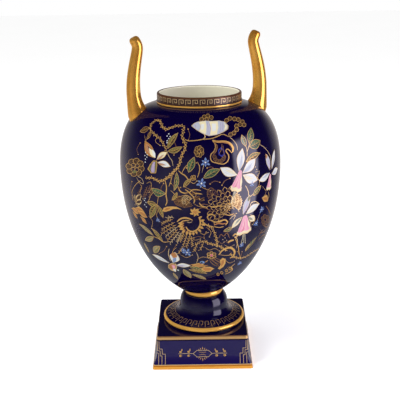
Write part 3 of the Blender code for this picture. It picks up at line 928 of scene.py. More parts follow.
def paint_heart(art):
    """The brown blossom at the left edge, and the heart of the spray with its flames and threads."""
    lobes(art, 134.6, 166.8, 6.2, 3.3, 8, 0.2, "gilt", "umber")
    lobes(art, 134.6, 167, 2.8, 2.2, 4, 0.9, "gilt", "cobalt")
    disc(art, 134, 171.2, 2.2, 1.5, "olive")
    # Fan and long petal over the heart of the spray
    for start, sweep, size in ((2.05, 0.8, 8.5), (1.15, 0.9, 9.0), (0.25, 0.85, 7.5)):
        ruffle(art, at(184, 207.5), size, start, sweep, "umber", "brown_gilt")
    lobes(art, 177.5, 199.5, 2.6, 2.2, 6, 0.1, "brown_gilt", "umber")
    lobes(art, 186.2, 200, 3.2, 2.0, 6, 2.6, "pale_gilt", "umber", 3.6)
    long_petal = spots(162, 210.6, 163.2, 207.4, 167, 206.2, 171.5, 206, 176, 206.3, 181.6, 209.4,
                       177, 208.3, 172.5, 208.6, 168.5, 210.4, 164.5, 211.4)
    art.area(long_petal, "gilt")
    art.area(spots(163.4, 209.8, 165.5, 207.6, 170, 207, 169, 208.6, 166, 210.2), "orange")
    # The heart: a dark boat in a ring of gilt flames and long threads
    feathers(art, "gilt", (172.2, 219, 166.5, 220.4, 161.4, 223.3), (174.4, 221.8, 167, 225.6, 161.6, 229),
             (175.6, 224.4, 168, 229, 160.7, 233.6), (177.6, 228.6, 172, 234.4, 167.1, 239.4))
    feathers(art, "pale_gilt", (178.8, 231, 174.4, 236.8, 169.6, 242.6),
             (181, 232, 179, 236.6, 176.6, 241.4), (173.4, 217.6, 170, 216.6, 166.6, 217.6),
             (177, 226.6, 171.4, 230.6, 165.4, 235.8))
    feathers(art, "gilt", (186.6, 234, 184.2, 240.6, 182.2, 247.6), (189.8, 234.6, 188, 240.4, 186, 246.4),
             (190.8, 236, 191.4, 240.6, 192.2, 245.2), (197.4, 242.6, 195.4, 246.2, 193.9, 250.4),
             (203, 242.6, 201.4, 246, 199.4, 249.6), (181.8, 247.6, 180, 250, 177.9, 253),
             (183.6, 231.6, 181.8, 236.2, 179.6, 240.2))
    layered_blades(art, (0.46, "gilt", 0.06), (0.40, "orange", 0.04), (184.6, 228.4, 181.4, 232.4),
                   (187, 229.6, 185.6, 234.6), (189.6, 230.4, 189.2, 235.4), (192.2, 230.6, 193, 235.2),
                   (194.6, 230, 196.6, 233.8), (196.8, 228.4, 200.6, 231.6), (198, 226.2, 203.2, 228.2),
                   (184, 226.4, 178.8, 229.2), (183.6, 224.4, 176.8, 226), (183.8, 222.4, 177.2, 222.8),
                   (199.4, 221.2, 204.4, 219.4), (199.8, 224, 205, 224.6), (198.4, 218.8, 201.4, 215.6),
                   short=True)
    art.line(spots(185.4, 226.2, 188, 229.8, 192.4, 231, 197, 228.8, 199.6, 224.4, 199.6, 219.8,
                   198.2, 216.8), 1.3, "gilt")
    boat = spots(185.2, 222.6, 187.6, 221.6, 191, 220.8, 193.2, 218.8, 196, 217.8, 198.4, 219.6,
                 198.6, 223.4, 197.2, 227, 194, 228.8, 190.4, 228.6, 187, 226.6)
    art.area(boat, "cobalt")
    art.line(spots(176.4, 221.4, 180, 218.4, 184.6, 217.4, 188.6, 218.2, 192.2, 219.8), 1.5, "gilt",
             thin=0.3)
    art.line(spots(178.4, 223.4, 182, 220.8, 185.8, 220, 189, 220.4), 0.9, "gilt", thin=0.3)
    art.line(spots(186.4, 221.4, 189, 222.2, 191.6, 221.2), 0.5, "pale_gilt")
    layered_blades(art, (0.44, "gilt", 0.10), (0.34, "orange", 0.10), (194.6, 212, 190, 208.2),
                   (194.6, 212, 194.2, 207), (194.6, 212, 199, 208.2), (194.6, 212, 200.4, 212),
                   (194.6, 212, 198, 215.6), (194.6, 212, 189.2, 213.2), (194.6, 212, 193.6, 216.2),
                   short=True)
    # Arcs and petals between the heart and the second blossom
    strokes(art, 0.9, "gilt", (188.6, 192.4, 191.6, 189.6, 196, 189.2, 200.4, 190),
            (191.6, 193.4, 196, 193, 201.6, 193.6), (192.8, 196.6, 194, 199.6, 193.2, 203),
            (184.6, 189, 187.8, 191.2, 191, 194.6, 193.6, 196.8),
            (177.6, 186, 179.6, 190.6, 183.6, 192.6, 187.4, 192.2), (196.4, 196, 199.6, 199, 204, 199.6))
    layered_blades(art, (0.4, "brown_gilt", 0.1), (0.2, "umber", 0.1), (196, 191, 190, 193.6),
                   (199.8, 195.4, 193, 198.6), (204, 196.6, 198.4, 200.6))


def paint_scaled_blossom(art):
    """The second big blossom: dark scales that spread from its bright heart, and curled petals."""
    core = at(227.9, 207.2)
    first, sweep, scale_length = 1.45, 2.9, 6.2
    unit = art.mm(core)
    for ring_index, (reach, count) in enumerate(((19.0, 9), (15.2, 8), (11.4, 7), (7.8, 6), (4.6, 5))):
        for i in range(count):
            angle = first + (i + 0.5 * (ring_index % 2)) * sweep / count
            way = cmath.exp(1j * angle)
            far, near = core + way * unit * reach, core + way * unit * (reach - scale_length)
            art.blade(near, far, 0.66, "gilt", 0.0, 1.35)
            art.blade(near, far - way * unit * 0.55, 0.60, "cobalt", 0.0, 1.35)
            if ring_index > 1:
                art.line([core + way * unit * (reach - 3.2), core + way * unit * (reach - 1.6)], 0.32,
                         "gilt", steps=1)
    for i in range(14):
        way = cmath.exp(1j * i * 2.4)
        art.dot(core + way * unit * (0.6 + 0.22 * i), 1.1, "gilt" if i % 3 else "pale_gilt", corners=6)
    for start in (-0.75, 0.15):
        ruffle(art, at(229.8, 203), 11.0, start, 0.9, "brown_gilt", "pale_gilt")
    lobes(art, 212.2, 194.6, 3.4, 2.2, 6, 2.4, "brown_gilt", "cobalt", 4.2)
    strokes(art, 0.6, "brown_gilt", (206.8, 196, 207, 190.8, 210.2, 187.4, 214, 189.2),
            (218, 189.6, 220.6, 192.4, 224.4, 193.4),
            (197.2, 208.8, 202, 207.2, 207.2, 208.6, 211.4, 211.2),
            (199.6, 204.6, 203.6, 203.6, 208, 204.6))
    strokes(art, 1.0, "gilt", (209, 205.6, 213.4, 206.6, 218.4, 205.4, 222.6, 206),
            (198.6, 202.2, 201.4, 205.4, 205.8, 206.6))
    # Curled petals under it
    art.line(spots(208.6, 220, 207, 216.6, 209.4, 213.8, 213, 214.6, 215, 216.6), 1.1, "gilt")
    art.line(spots(210, 219.6, 214.6, 221.6, 220, 220.4, 224.6, 219.4, 227, 221.6, 225, 224.6), 1.3, "gilt")
    art.line(spots(213.6, 224.8, 217.8, 222.8, 222, 223.4, 225.8, 222.6), 1.3, "orange")
    art.line(spots(213.4, 225.8, 218, 227, 223.4, 226), 0.8, "gilt")
    art.line(spots(201.2, 219.6, 204.6, 223.6, 209, 225.6, 213, 226.2), 1.1, "gilt")
    art.line(spots(218.6, 237.6, 220.4, 233.8, 223.2, 235.6, 226.6, 232.6, 229.2, 237.8), 0.8, "brown_gilt")
    art.line(spots(218.4, 240.6, 221.4, 243.4, 224.8, 241, 229, 243.6), 0.5, "brown_gilt")
    for x, y in ((222.4, 239), (224.6, 237.4), (226.2, 239.8), (223.6, 241.6), (227.8, 241.2)):
        art.dot(at(x, y), 0.9, "pale_gilt", corners=6)
    feathers(art, "pale_gilt", (232.8, 195.6, 231.4, 201.6, 232.6, 208.2),
             (236.2, 193, 238, 199.6, 235.6, 206.8), (240.4, 197.2, 241, 203.2, 238.2, 210.2),
             (234.4, 195, 235.2, 200, 233.8, 204.4), width=0.5, tooth=1.1)


def paint_upper_blossoms(art):
    """The frame-shaped blossom at the upper right, the round brown one beside it, and clouds."""
    art.line(spots(211.8, 139.8, 217, 141.2, 223.5, 141.2, 229, 142.8, 232.4, 147, 232.2, 151.5), 2.0,
             "gilt", thin=0.5)
    art.line(spots(214.5, 140.8, 220, 141.6, 226.4, 142.2, 230.2, 145), 0.9, "orange", thin=0.4)
    art.line(spots(211.8, 139.8, 214.8, 144.5, 213.9, 150, 210.2, 154.5, 211, 160.4, 216.5, 162.6,
                   223, 163.5, 227.4, 160.4, 228.2, 155, 225.4, 150.5, 227.5, 148.6, 231, 152,
                   232.4, 150.8), 0.8, "gilt")
    art.line(spots(213.6, 141.4, 216.4, 145.6, 215.6, 150.4, 212.6, 154.2), 1.1, "brown_gilt")
    lobes(art, 218.8, 156, 4.8, 2.0, 7, 0.1, "brown_gilt", "umber", 3.5)
    art.area(spots(217.6, 149.6, 220.4, 146.6, 223.6, 149.6, 224.4, 153.6, 221.4, 156.4, 218, 154.4),
             "deep_sky")
    art.area(spots(218.6, 150.2, 220.4, 148.2, 222.8, 150.4, 223.2, 153.2, 221.2, 155, 219, 153.6),
             "cobalt")
    tendrils(art, "brown_gilt", (0.5, 221.5, 143.5, 220.8, 149, 218.5, 153.5),
             (0.5, 222.5, 145, 223, 151, 224.6, 156.5))
    # Round brown blossom beside it
    lobes(art, 198.6, 151, 3.4, 2.7, 7, 0.4, "gilt", "umber", flat=0.85)
    disc(art, 198.6, 151, 1.8, 2.0, "gilt")
    disc(art, 198.6, 151, 1.3, 1.5, "umber")
    lobes(art, 192.8, 177.4, 1.3, 1.7, 4, 0.6, "gilt", "umber")
    # Clouds beside and above the striped blossom
    clouds(art, 2.1, 200.8, 118.8, 203.5, 116.3, 207, 115.2, 210.6, 117, 206.2, 119)
    clouds(art, 2.2, 225.8, 119.8, 229.3, 117.8, 233.8, 118.4, 237.5, 119, 241.6, 121.2, 243.4, 124.4,
           239.5, 124, 235.8, 125.4, 236, 129.2, 233.2, 132.4, 230, 134)


def paint_left_shapes(art):
    """Small gilt shapes and threads at the left."""
    for x, y, tx, ty, wide in ((134.4, 201.6, 134.8, 193.8, 0.5), (134.7, 202, 140.8, 194, 0.40),
                               (135, 202.6, 141.6, 200.3, 0.42), (135.2, 203, 139.6, 206.2, 0.42)):
        art.blade(at(x, y), at(tx, ty), wide, "pale_gilt", 0.0, 1.1)
        art.blade(at(x, y), at(tx, ty), wide * 0.55, "umber", 0.0, 1.1)
    layered_blades(art, (0.42, "gilt", 0.06, 1.2), (0.24, "orange", 0.06, 1.2), (131, 207.6, 138.4, 213.4),
                   (134.5, 207.2, 145, 213.6), (137, 211, 147, 217), (139.4, 215.6, 146.4, 223.4),
                   (132, 211, 137.2, 218.4))
    # Threads at the left edge
    feathers(art, "brown_gilt", (150.6, 184.4, 147.8, 190, 144.8, 195.4),
             (147, 186, 144.6, 191.6, 142.8, 196.6), (153.4, 186.6, 150.6, 192, 148.6, 197.4),
             (141.6, 184, 140.2, 189, 137.6, 193.6))


def paint_low_blossoms(art):
    """The low gilt blossoms with their long petals."""
    art.line(spots(218.4, 254.4, 221.4, 250.4, 226, 247.8, 231, 247.6, 234.2, 251.2, 233, 255.4,
                   229.6, 257.6), 1.9, "gilt", thin=0.4)
    art.area(spots(219.6, 254, 223, 251.4, 228, 250.2, 230.6, 252, 228.6, 254.4, 224, 254.2), "cobalt")
    art.line(spots(219.4, 254.2, 224, 254.9, 228.8, 254.6, 231, 252), 0.5, "gilt")
    layered_blades(art, (0.20, "brown_gilt", -0.06), (0.10, "cobalt", -0.06), (208.4, 257.6, 219.6, 266.4),
                   (210.4, 256.8, 221.8, 264), (212.6, 256, 223.4, 261.6))
    art.area(spots(219.4, 259.8, 222, 257.4, 225.2, 258.4, 225, 262.6, 223, 266.2, 219, 269, 217.4, 268,
                   220.2, 264.4), "gilt")
    art.area(spots(221, 260.4, 223.4, 259, 223.8, 262, 222, 265, 220.2, 266.4), "orange")
    lobes(art, 211, 254.8, 2.4, 1.5, 6, 0.5, "gilt", "umber", flat=1.3)
    disc(art, 211, 254.9, 1.4, 1.1, "rose")
    for x, y, tx, ty, bend in ((207.8, 259.4, 189, 264, 0.16), (207.8, 260.2, 190.4, 266.4, 0.02),
                               (208.4, 264.6, 192, 264.8, 0.06), (214.4, 268.6, 199.4, 268.4, -0.12)):
        art.blade(at(x, y), at(tx, ty), 0.22, "gilt", bend, 1.2)
        art.blade(at(x, y), at(tx, ty), 0.13, "orange", bend, 1.2)
    art.area(spots(200.2, 268.2, 204, 266.2, 209.4, 266.2, 213.6, 268, 210, 271, 204.6, 271.4), "gilt")
    art.area(spots(202, 268.2, 205, 267, 209, 267.2, 211.6, 268.4, 208.6, 270.2, 204.8, 270.2), "orange")
    disc(art, 201.8, 261.8, 3.3, 1.7, "cobalt")
    disc(art, 201.8, 261.8, 2.5, 1.2, "sky")
    disc(art, 201.2, 262, 1.2, 0.7, "deep_leaf")
    art.line(spots(234.4, 263.2, 231, 266.4, 231.8, 269.4, 228, 272.4, 224.6, 273.6), 1.1, "gilt")
    art.line(spots(231.6, 265.6, 227.4, 266.8, 225.6, 269.8), 0.7, "brown_gilt")
    clouds(art, 1.5, 217.4, 273.8, 221, 272.2, 225.8, 270.2, 229.4, 268.2)


def paint_right_shapes(art):
    """Gilt shapes towards the right edge."""
    lobes(art, 264.8, 219.2, 3.4, 2.2, 6, 0.4, "brown_gilt", "umber", flat=0.8)
    strokes(art, 1.0, "brown_gilt", (262, 224, 266, 226.5, 269, 223), (259, 233, 263.5, 231, 267, 226.5),
            (258, 240, 261, 236, 264.5, 233.6), (262.8, 228.6, 260, 232, 257.6, 236.6),
            (265.4, 205.4, 268, 209.2, 269.8, 213.6))
    art.blade(at(267.4, 200.6), at(261.4, 197.4), 0.55, "gilt", -0.1)
    art.blade(at(267, 200.2), at(262.4, 198), 0.34, "orange", -0.1)
    art.line(spots(267.8, 191.4, 268.4, 195.8, 266.8, 200.4), 0.7, "gilt")
    art.line(spots(232.4, 235.8, 234.2, 233.6, 236.6, 234.2, 236, 236.6, 233.8, 237.2), 1.1, "gilt")
    art.line(spots(227.4, 242, 230.2, 240.4, 233.4, 239.4), 1.8, "gilt", thin=0.6)
    art.line(spots(234, 235.2, 237, 240, 236, 247.6), 0.6, "pale_gilt")


def paint_fillings(art):
    """Short brown-gilt stems with a gilt dot at both ends."""
    for pixels in ((166, 246, 163.4, 250.4, 158.8, 253), (176, 244.5, 173, 249, 171.6, 254.4),
                   (205.6, 231.6, 203.4, 236.4, 205.6, 240.6), (193.4, 237.4, 198, 236, 203.6, 237.6),
                   (241.6, 251.2, 240, 256, 237, 251.2), (186, 167.5, 190, 163, 195.8, 162.4),
                   (206.6, 167.4, 211, 166.4, 214, 168.6), (163, 183, 160.6, 187.4, 161, 191),
                   (170.5, 183, 174.8, 186.6, 180.2, 187), (209.6, 183.4, 214.2, 180.6, 219.4, 181.8),
                   (221.6, 184.8, 224.4, 180.4, 229.4, 177.8), (248.6, 230.4, 250.4, 226.2, 250, 221.6),
                   (131.4, 181, 130, 188, 131.8, 194.8), (139.6, 142.6, 136.4, 148.4, 137.6, 154),
                   (173.6, 140.6, 175.8, 147.6, 173.4, 154.6), (187.6, 128.6, 189.2, 134.2, 187.8, 139.6)):
        art.line(spots(*pixels), 0.5, "brown_gilt")
        art.dot(at(pixels[0], pixels[1]), 1.2, "gilt", corners=6)
        art.dot(at(pixels[-2], pixels[-1]), 1.0, "gilt", corners=6)


def paint_curls(art):
    """Fine gilt curls between the larger forms."""
    for pixels in ((184.3, 186.5, 190.8, 190, 195.6, 194.7, 190.8, 198.3),
                   (175.5, 197, 186, 194.7, 189.7, 198.3, 186, 204.2),
                   (178, 201, 184.5, 199.5, 188.6, 202.4), (196.8, 183, 203, 187.6, 210, 190),
                   (193.5, 203.5, 199, 206, 206, 206.5, 211, 203.5), (188.5, 180, 193, 183, 196.5, 180.5),
                   (137.5, 181.5, 141, 186, 139.5, 192.5, 142.5, 198.5),
                   (146, 183, 150, 181.5, 151, 187, 148.5, 192), (133.5, 196, 136.5, 199.5, 134.5, 204.5),
                   (222, 213, 227, 211.5, 231, 214.5, 236, 213), (215, 211, 219, 214, 224.5, 213),
                   (190.5, 235.5, 194, 239.5, 200, 238.5), (206, 226.5, 210.5, 231.5, 209, 236.5),
                   (199, 231.5, 203, 234, 207.5, 232), (204, 246.5, 209, 249.5, 214.5, 248, 219, 250.5),
                   (213.5, 238.5, 217.5, 241.5, 216, 246), (224, 244.5, 228.5, 246.5, 233.5, 244.5),
                   (141.5, 131, 146.5, 127.5, 150, 129.5, 148.5, 136, 144.5, 141),
                   (152, 131.5, 156, 136, 155, 141, 159.5, 145), (144, 135, 146, 142, 150.5, 148, 154, 156),
                   (256, 176, 259, 181, 257.5, 187), (250, 214, 254.5, 218.5, 252, 224),
                   (262, 186, 265.5, 191, 263.5, 196), (196, 259.5, 202, 256.5, 208, 257.5),
                   (224, 259, 229, 262.5, 234, 260.5), (180, 254, 186, 257, 192, 254.5),
                   (176, 247, 172, 251.5, 174, 257), (148, 215, 152, 221, 151, 228),
                   (158, 209, 156, 215, 159, 221), (240, 224, 244, 229, 242.5, 235),
                   (170, 190, 174, 194, 172.5, 199)):
        art.line(spots(*pixels), 0.38, "gilt")
        art.dot(at(pixels[-2], pixels[-1]), 0.9, "pale_gilt", corners=6)


def paint_leaves(art):
    """Green and olive leaves with gilt edges."""
    rows = ((245.3, 145.6, 241.4, 134.6, 0.46, "teal", 0.03),
            (248.4, 142.5, 250.6, 127.5, 0.44, "leaf", -0.02),
            (249, 146.2, 259.7, 140, 0.52, "leaf", -0.03),
            (245.5, 161.5, 259.4, 152.5, 0.30, "olive", 0.05),
            (188.1, 171.9, 193.8, 156.9, 0.42, "leaf", 0.02),
            (203.1, 177.5, 219.4, 168.8, 0.40, "leaf", 0.04), (176, 172, 173.4, 190, 0.22, "leaf", 0.08),
            (151, 188.2, 164.8, 192.8, 0.46, "leaf", -0.12),
            (167.2, 148.1, 177.5, 132.5, 0.28, "olive", 0.05),
            (167.5, 150.6, 181.3, 146.3, 0.34, "olive", -0.08),
            (156.2, 204.1, 147, 201.6, 0.44, "olive", 0.05),
            (155.8, 204.6, 150, 217.4, 0.36, "olive", -0.04),
            (156.8, 204.6, 162.4, 216.9, 0.32, "olive", 0.05),
            (152.9, 235, 139.1, 223.8, 0.22, "sage", -0.06),
            (152.9, 236.3, 144.7, 239.6, 0.30, "sage", 0.04),
            (162.1, 240.9, 151.6, 228.1, 0.26, "olive", -0.05),
            (153.6, 252.4, 159.4, 246, 0.36, "sage", 0.05),
            (189.5, 266.3, 202.6, 270.5, 0.30, "leaf", 0.05),
            (188.5, 269.2, 206.5, 273.2, 0.20, "olive", 0.06),
            (183, 268.8, 190.4, 277.4, 0.44, "sage", 0.0), (191.8, 273.8, 205.6, 279, 0.24, "sage", 0.05),
            (231.8, 226.8, 223.3, 230.6, 0.44, "leaf", 0.05),
            (244.6, 250.8, 256.2, 236.5, 0.22, "leaf", 0.04),
            (244.8, 249.6, 249.2, 243.6, 0.24, "sage", 0.05),
            (253, 194.9, 260.3, 185.5, 0.44, "leaf", 0.03),
            (148.8, 127.5, 139.7, 130.8, 0.48, "umber", 0.0),
            (150.2, 131, 146.6, 138.6, 0.40, "umber", 0.05),
            (183, 186.5, 190.5, 178.5, 0.30, "olive", 0.04),
            (176.5, 192, 171.5, 199.5, 0.30, "olive", 0.06), (172.8, 272.4, 177.2, 278.6, 0.3, "sage", 0.0),
            (143.6, 242.4, 148.4, 251.8, 0.26, "sage", 0.05))
    for x0, y0, x1, y1, width, ink, bend in rows:
        leaf(art, at(x0, y0), at(x1, y1), width, ink, bend)


def paint_striped_blossom(art):
    """The striped blossom at the top."""
    shell = spots(191.6, 125.4, 194, 122.9, 197.5, 121.4, 205.6, 120.3, 212, 120.8, 218.3, 120.3,
                  223.8, 121.4, 227.2, 125.2, 226.9, 128.4, 222.5, 131.4, 216.3, 134, 208.8, 135.2,
                  202.5, 133, 196.3, 129.2)
    middle = sum(shell) / len(shell)
    art.area([middle + (p - middle) * 1.045 for p in shell], "pale_gilt")
    art.area(shell, "pearl")
    art.area(spots(198, 121.6, 205, 120.6, 206, 126, 205.4, 133.6, 202.6, 132.6, 198.6, 130.4, 200.5, 126),
             "cream")
    art.area(spots(208.6, 121, 217.2, 120.8, 217.8, 127, 216.4, 133.6, 209.5, 134.7, 210.5, 128), "cream")
    art.area(spots(199.6, 124.2, 203.6, 123.4, 203.4, 128.6, 200.8, 129.4), "white")
    art.area(spots(211.2, 123, 215.6, 123, 215.2, 130, 211.8, 131), "white")
    art.area(spots(223.4, 122, 226.6, 125.4, 226.3, 128, 223.6, 130.3, 224.6, 126), "cream")
    strokes(art, 0.5, "lilac", (206.4, 120.7, 207.6, 127, 207.2, 134.8),
            (208.3, 120.9, 209.8, 127, 208.9, 134.9), (219.4, 120.9, 220.4, 126.6, 218.8, 132.6),
            (221.4, 121.2, 222.4, 126.4, 221.2, 131.6), (194.2, 123.4, 195.2, 126.2, 194.8, 128))
    art.line(spots(198, 121.6, 200.5, 126, 198.6, 130.4), 0.4, "pale_gilt")
    art.line(spots(203.5, 133, 204.6, 136.2, 202.8, 138.6), 0.9, "pale_gilt")


def paint_gold_flower(art):
    """The gold-petalled flower at the upper left."""
    petal(art, at(154.9, 157.2), at(144.6, 140.6), 0.42, "orange", "umber", 0.05, edge="gilt", full=1.0)
    art.blade(at(155, 157.3), at(148.6, 147.2), 0.36, "cream", 0.03, 0.9)
    art.blade(at(154.8, 156.9), at(151.6, 148.6), 0.32, "white", -0.02, 0.9)
    petal(art, at(156.3, 159.2), at(166.5, 151.9), 0.40, "cream", "orange", 0.05, edge="gilt")
    petal(art, at(156.9, 162.2), at(169.6, 166), 0.40, "white", "orange", 0.06, edge="gilt")
    art.area(spots(152.6, 160, 156.4, 160.2, 156.6, 166, 155.4, 172.8, 150.4, 172.8, 146.9, 168.6,
                   149.4, 164), "gilt")
    art.area(spots(152.9, 160.8, 155.9, 160.9, 156, 166, 154.9, 172.2, 150.8, 172.2, 147.8, 168.5,
                   150, 164.4), "olive")
    art.area(spots(152.8, 161.3, 154.6, 161.6, 154.2, 167, 153.9, 172, 151, 172, 150.2, 169, 151.4, 164.6),
             "lilac")
    art.line(spots(152.9, 163, 152.4, 168, 152.3, 171.6), 0.5, "pearl")


def paint_fuchsias(art):
    """The three fuchsias in the right half."""
    # In the middle
    petals(art, (238.6, 170.8, 241.9, 148.2, 0.37, "white", "pearl", 0.02),
           (236.8, 174.4, 220, 167.3, 0.42, "white", "cream", 0.05),
           (242.2, 172.5, 254.6, 158.2, 0.46, "white", "pearl", -0.04),
           (242.5, 174.4, 257, 179.2, 0.48, "white", "cream", -0.05))
    stamens(art, at(234.5, 189), at(232.5, 202), 3, 0.30)
    bell(art, at(240.1, 170.4), at(235.2, 189.6), 0.62)
    # At the right edge
    petals(art, (271.3, 168.3, 274, 149.2, 0.30, "white", "pearl", 0.03),
           (269.4, 169.6, 265.2, 153.6, 0.34, "pearl", "lilac", -0.03))
    art.blade(at(266.6, 158.5), at(265.2, 153.6), 0.5, "orange")
    petals(art, (271.3, 173.6, 277, 168, 0.42, "white", "pearl", 0.0),
           (269.2, 172.2, 258.6, 180.2, 0.36, "white", "pearl", 0.05))
    bell(art, at(269.8, 173.9), at(268.2, 188.6), 0.60)
    # Lower right
    petal(art, at(242.6, 214), at(249.4, 194.6), 0.30, "pearl", "lilac", 0.03)
    art.blade(at(247.3, 201.5), at(249.4, 194.8), 0.4, "olive")
    petal(art, at(245.6, 213.6), at(258.4, 203.4), 0.40, "white", "cream", 0.05)
    tendrils(art, "pale_gilt", (0.7, 249.5, 206, 251, 202.2, 255, 201, 259, 203.5))
    petals(art, (248, 216.6, 253.8, 220.2, 0.60, "cream", "olive", 0.08),
           (241.8, 216.6, 231.6, 227.4, 0.36, "cream", "olive", -0.05))
    stamens(art, at(243.8, 231), at(242.6, 243), 3, 0.36)
    bell(art, at(244.6, 215.6), at(243.6, 232.4), 0.92)


def paint_low_flower(art):
    """The flower at the lower left."""
    petals(art, (169, 262.6, 152, 253.9, 0.25, "white", "pearl", -0.04),
           (172.4, 262.2, 174.6, 252, 0.62, "white", "sky", -0.05))
    art.blade(at(172.6, 257.4), at(174.6, 252.2), 0.8, "orange")
    petal(art, at(175.6, 265.2), at(190, 265.2), 0.34, "white", "lilac", 0.05)
    art.area(spots(167.8, 264.4, 171, 262.6, 175.6, 263.4, 176.4, 267, 175.4, 271.4, 171, 270,
                   167.9, 267.4), "pale_gilt")
    art.area(spots(168.4, 264.8, 171, 263.2, 175, 264, 175.6, 267, 174, 269, 171, 269, 168.5, 267),
             "orange")
    art.area(spots(171, 264.4, 174.4, 264.8, 174.8, 267.4, 172.6, 268.2), "pink")
    art.area(spots(172.6, 268.4, 175, 268.2, 175.6, 271, 173.4, 270.4), "white")
    art.dot(at(177.9, 269.9), 3.4, "deep_leaf", corners=10)
    art.dot(at(177.6, 269.6), 1.7, "white")


def paint_dots(art):
    """Small blue flowers, and white and pale dots."""
    for x, y, size, turned in ((205, 162, 8.6, 0.5), (201, 183, 9.4, 0.3), (261.3, 209, 7.2, 0.9),
                               (255.6, 223, 7.0, 0.2), (241.2, 244.6, 6.0, 0.4), (239.2, 262.8, 6.0, 0.8),
                               (186.6, 252, 9.4, 0.1), (157.4, 219.6, 5.0, 0.6), (182.9, 249.6, 5.4, 0.7),
                               (251.6, 183.8, 5.6, 0.4)):
        floret(art, at(x, y), size, turned)
    white_dots = (168.3, 133.4, 166.6, 135.6, 169.6, 135.9, 168.3, 138, 166.6, 140.3, 166.5, 142.2,
                  145, 151.9, 146.8, 154.1, 144.4, 155, 146.4, 156.6, 145, 158.6, 144.7, 161.6,
                  144.7, 198, 144, 200, 145.5, 202, 144.2, 204.2, 145.8, 206.3)
    for spot in spots(*white_dots):
        art.dot(spot, 1.05, "white")
    for spot in spots(255, 166.5, 256.2, 169, 257.3, 171, 258.4, 173.2, 255.6, 171.4, 257, 174.6):
        art.dot(spot, 0.75, "pale_gilt")


def build_bowl():
    """The vase's skin: the painted bowl, the ringed and banded neck, the gilt lip painted dark brown as a
    painted reflection, and the white inside.
    """
    skin = Skin()
    art = Painting(BODY)
    for paint in (paint_stems, paint_heart, paint_scaled_blossom, paint_upper_blossoms, paint_left_shapes,
                  paint_low_blossoms, paint_right_shapes, paint_fillings, paint_curls, paint_leaves,
                  paint_striped_blossom, paint_gold_flower, paint_fuchsias, paint_low_flower, paint_dots):
        paint(art)
    low, high = EDGE_MARGIN, BODY.ups[-1] - EDGE_MARGIN
    art.points = [complex(p.real, min(max(p.imag, low), high)) for p in art.points]
    art.repeat(-math.pi)
    rows = BODY.rows(BODY_ROW)
    seam = 2.0 * math.pi * BODY_SEAM / BODY_COLUMNS
    lay(skin, art, BODY.columns(BODY_COLUMNS, seam), rows, "cobalt", put_wheel(BODY))

    foot_of_neck = Vector((NECK.x, NECK_BEAD_FOOT))
    top_of_bead = Vector((NECK.x, NECK_BEAD_TOP))
    turn(skin, [NECK, foot_of_neck], "cobalt", BODY_COLUMNS)
    ring = bead(foot_of_neck, top_of_bead, NECK_BEAD_BULGE, NECK_BEAD_STEPS)
    turn(skin, ring[:NECK_BEAD_GILT + 1], "bright_gilt", BODY_COLUMNS)
    turn(skin, ring[NECK_BEAD_GILT:], "umber", BODY_COLUMNS)
    band = Wheel([top_of_bead, Vector((NECK.x, GILT_LIP_FOOT))])
    keys = Painting(band)
    hook = ((0.10, 0.0), (0.10, 1.0), (0.80, 1.0), (0.80, 0.30), (0.45, 0.30), (0.45, 0.68))
    low, high = band.ups[-1] * NECK_KEY_MARGIN, band.ups[-1] * (1.0 - NECK_KEY_MARGIN)
    half = NECK_KEY_LINE / NECK.x / 2.0
    key_pattern(keys, hook, NECK_KEYS, low, high, half, "pale_gilt", 0.02, 0.93)
    lay(skin, keys, band.columns(BODY_COLUMNS), band.rows(BAND_ROW), "umber", put_wheel(band))
    middle = Vector((NECK.x - LIP_RADIUS, LIP_TURN))
    arc = [middle + towards(math.pi * i / LIP_STEPS, LIP_RADIUS) for i in range(LIP_STEPS + 1)]
    # The lip's gilding is painted dark brown: a painted reflection of the dark surroundings
    turn(skin, [Vector((NECK.x, GILT_LIP_FOOT))] + arc[:LIP_GILT + 1], "lip_gilt", BODY_COLUMNS)
    turn(skin, arc[LIP_GILT:], "inside_glaze", BODY_COLUMNS)

    outer = bowl_outline(*INNER_STEPS)[::-1]
    last = len(outer) - 1
    inner = []
    for index, point in enumerate(outer):
        along = (outer[min(index + 1, last)] - outer[max(index - 1, 0)]).normalized()
        inner.append(point + Vector((along.y, -along.x)) * BOWL_WALL)
    turn(skin, [arc[-1], inner[0]], "inside_glaze", BODY_COLUMNS)
    turn(skin, inner, "inside_glaze", BODY_COLUMNS)
    turn(skin, [inner[-1], Vector((0.0, inner[-1].y))], "inside_glaze", BODY_COLUMNS)
    seat = Vector((SEAT_RADIUS, VASE_BASE))
    turn(skin, [Vector((0.0, VASE_BASE)), seat], "biscuit", BODY_COLUMNS)
    turn(skin, [seat, WAIST], "cobalt", BODY_COLUMNS)
    skin.piece("vase_body", "vase")


def key_pattern(art, hook, count, low, high, half, ink, lead=0.0, spread=1.0):
    """A running key round a turned sheet: the same hook in every unit, between two heights of the sheet."""
    pitch = 2.0 * math.pi / count
    for unit in range(count):
        start = -math.pi + pitch * (unit + lead)
        corners = [complex(start + pitch * spread * x, low + (high - low) * y) for x, y in hook]
        square_line(art, corners, half, ink)


def square_line(art, corners, half, ink):
    """A line of straight runs with square ends and corners; half is half its width on the flat sheet."""
    for a, b in zip(corners, corners[1:]):
        way = (b - a) / abs(b - a)
        out = 1j * way * half
        a, b = a - way * half, b + way * half
        art.area([a + out, a - out, b - out, b + out], ink)


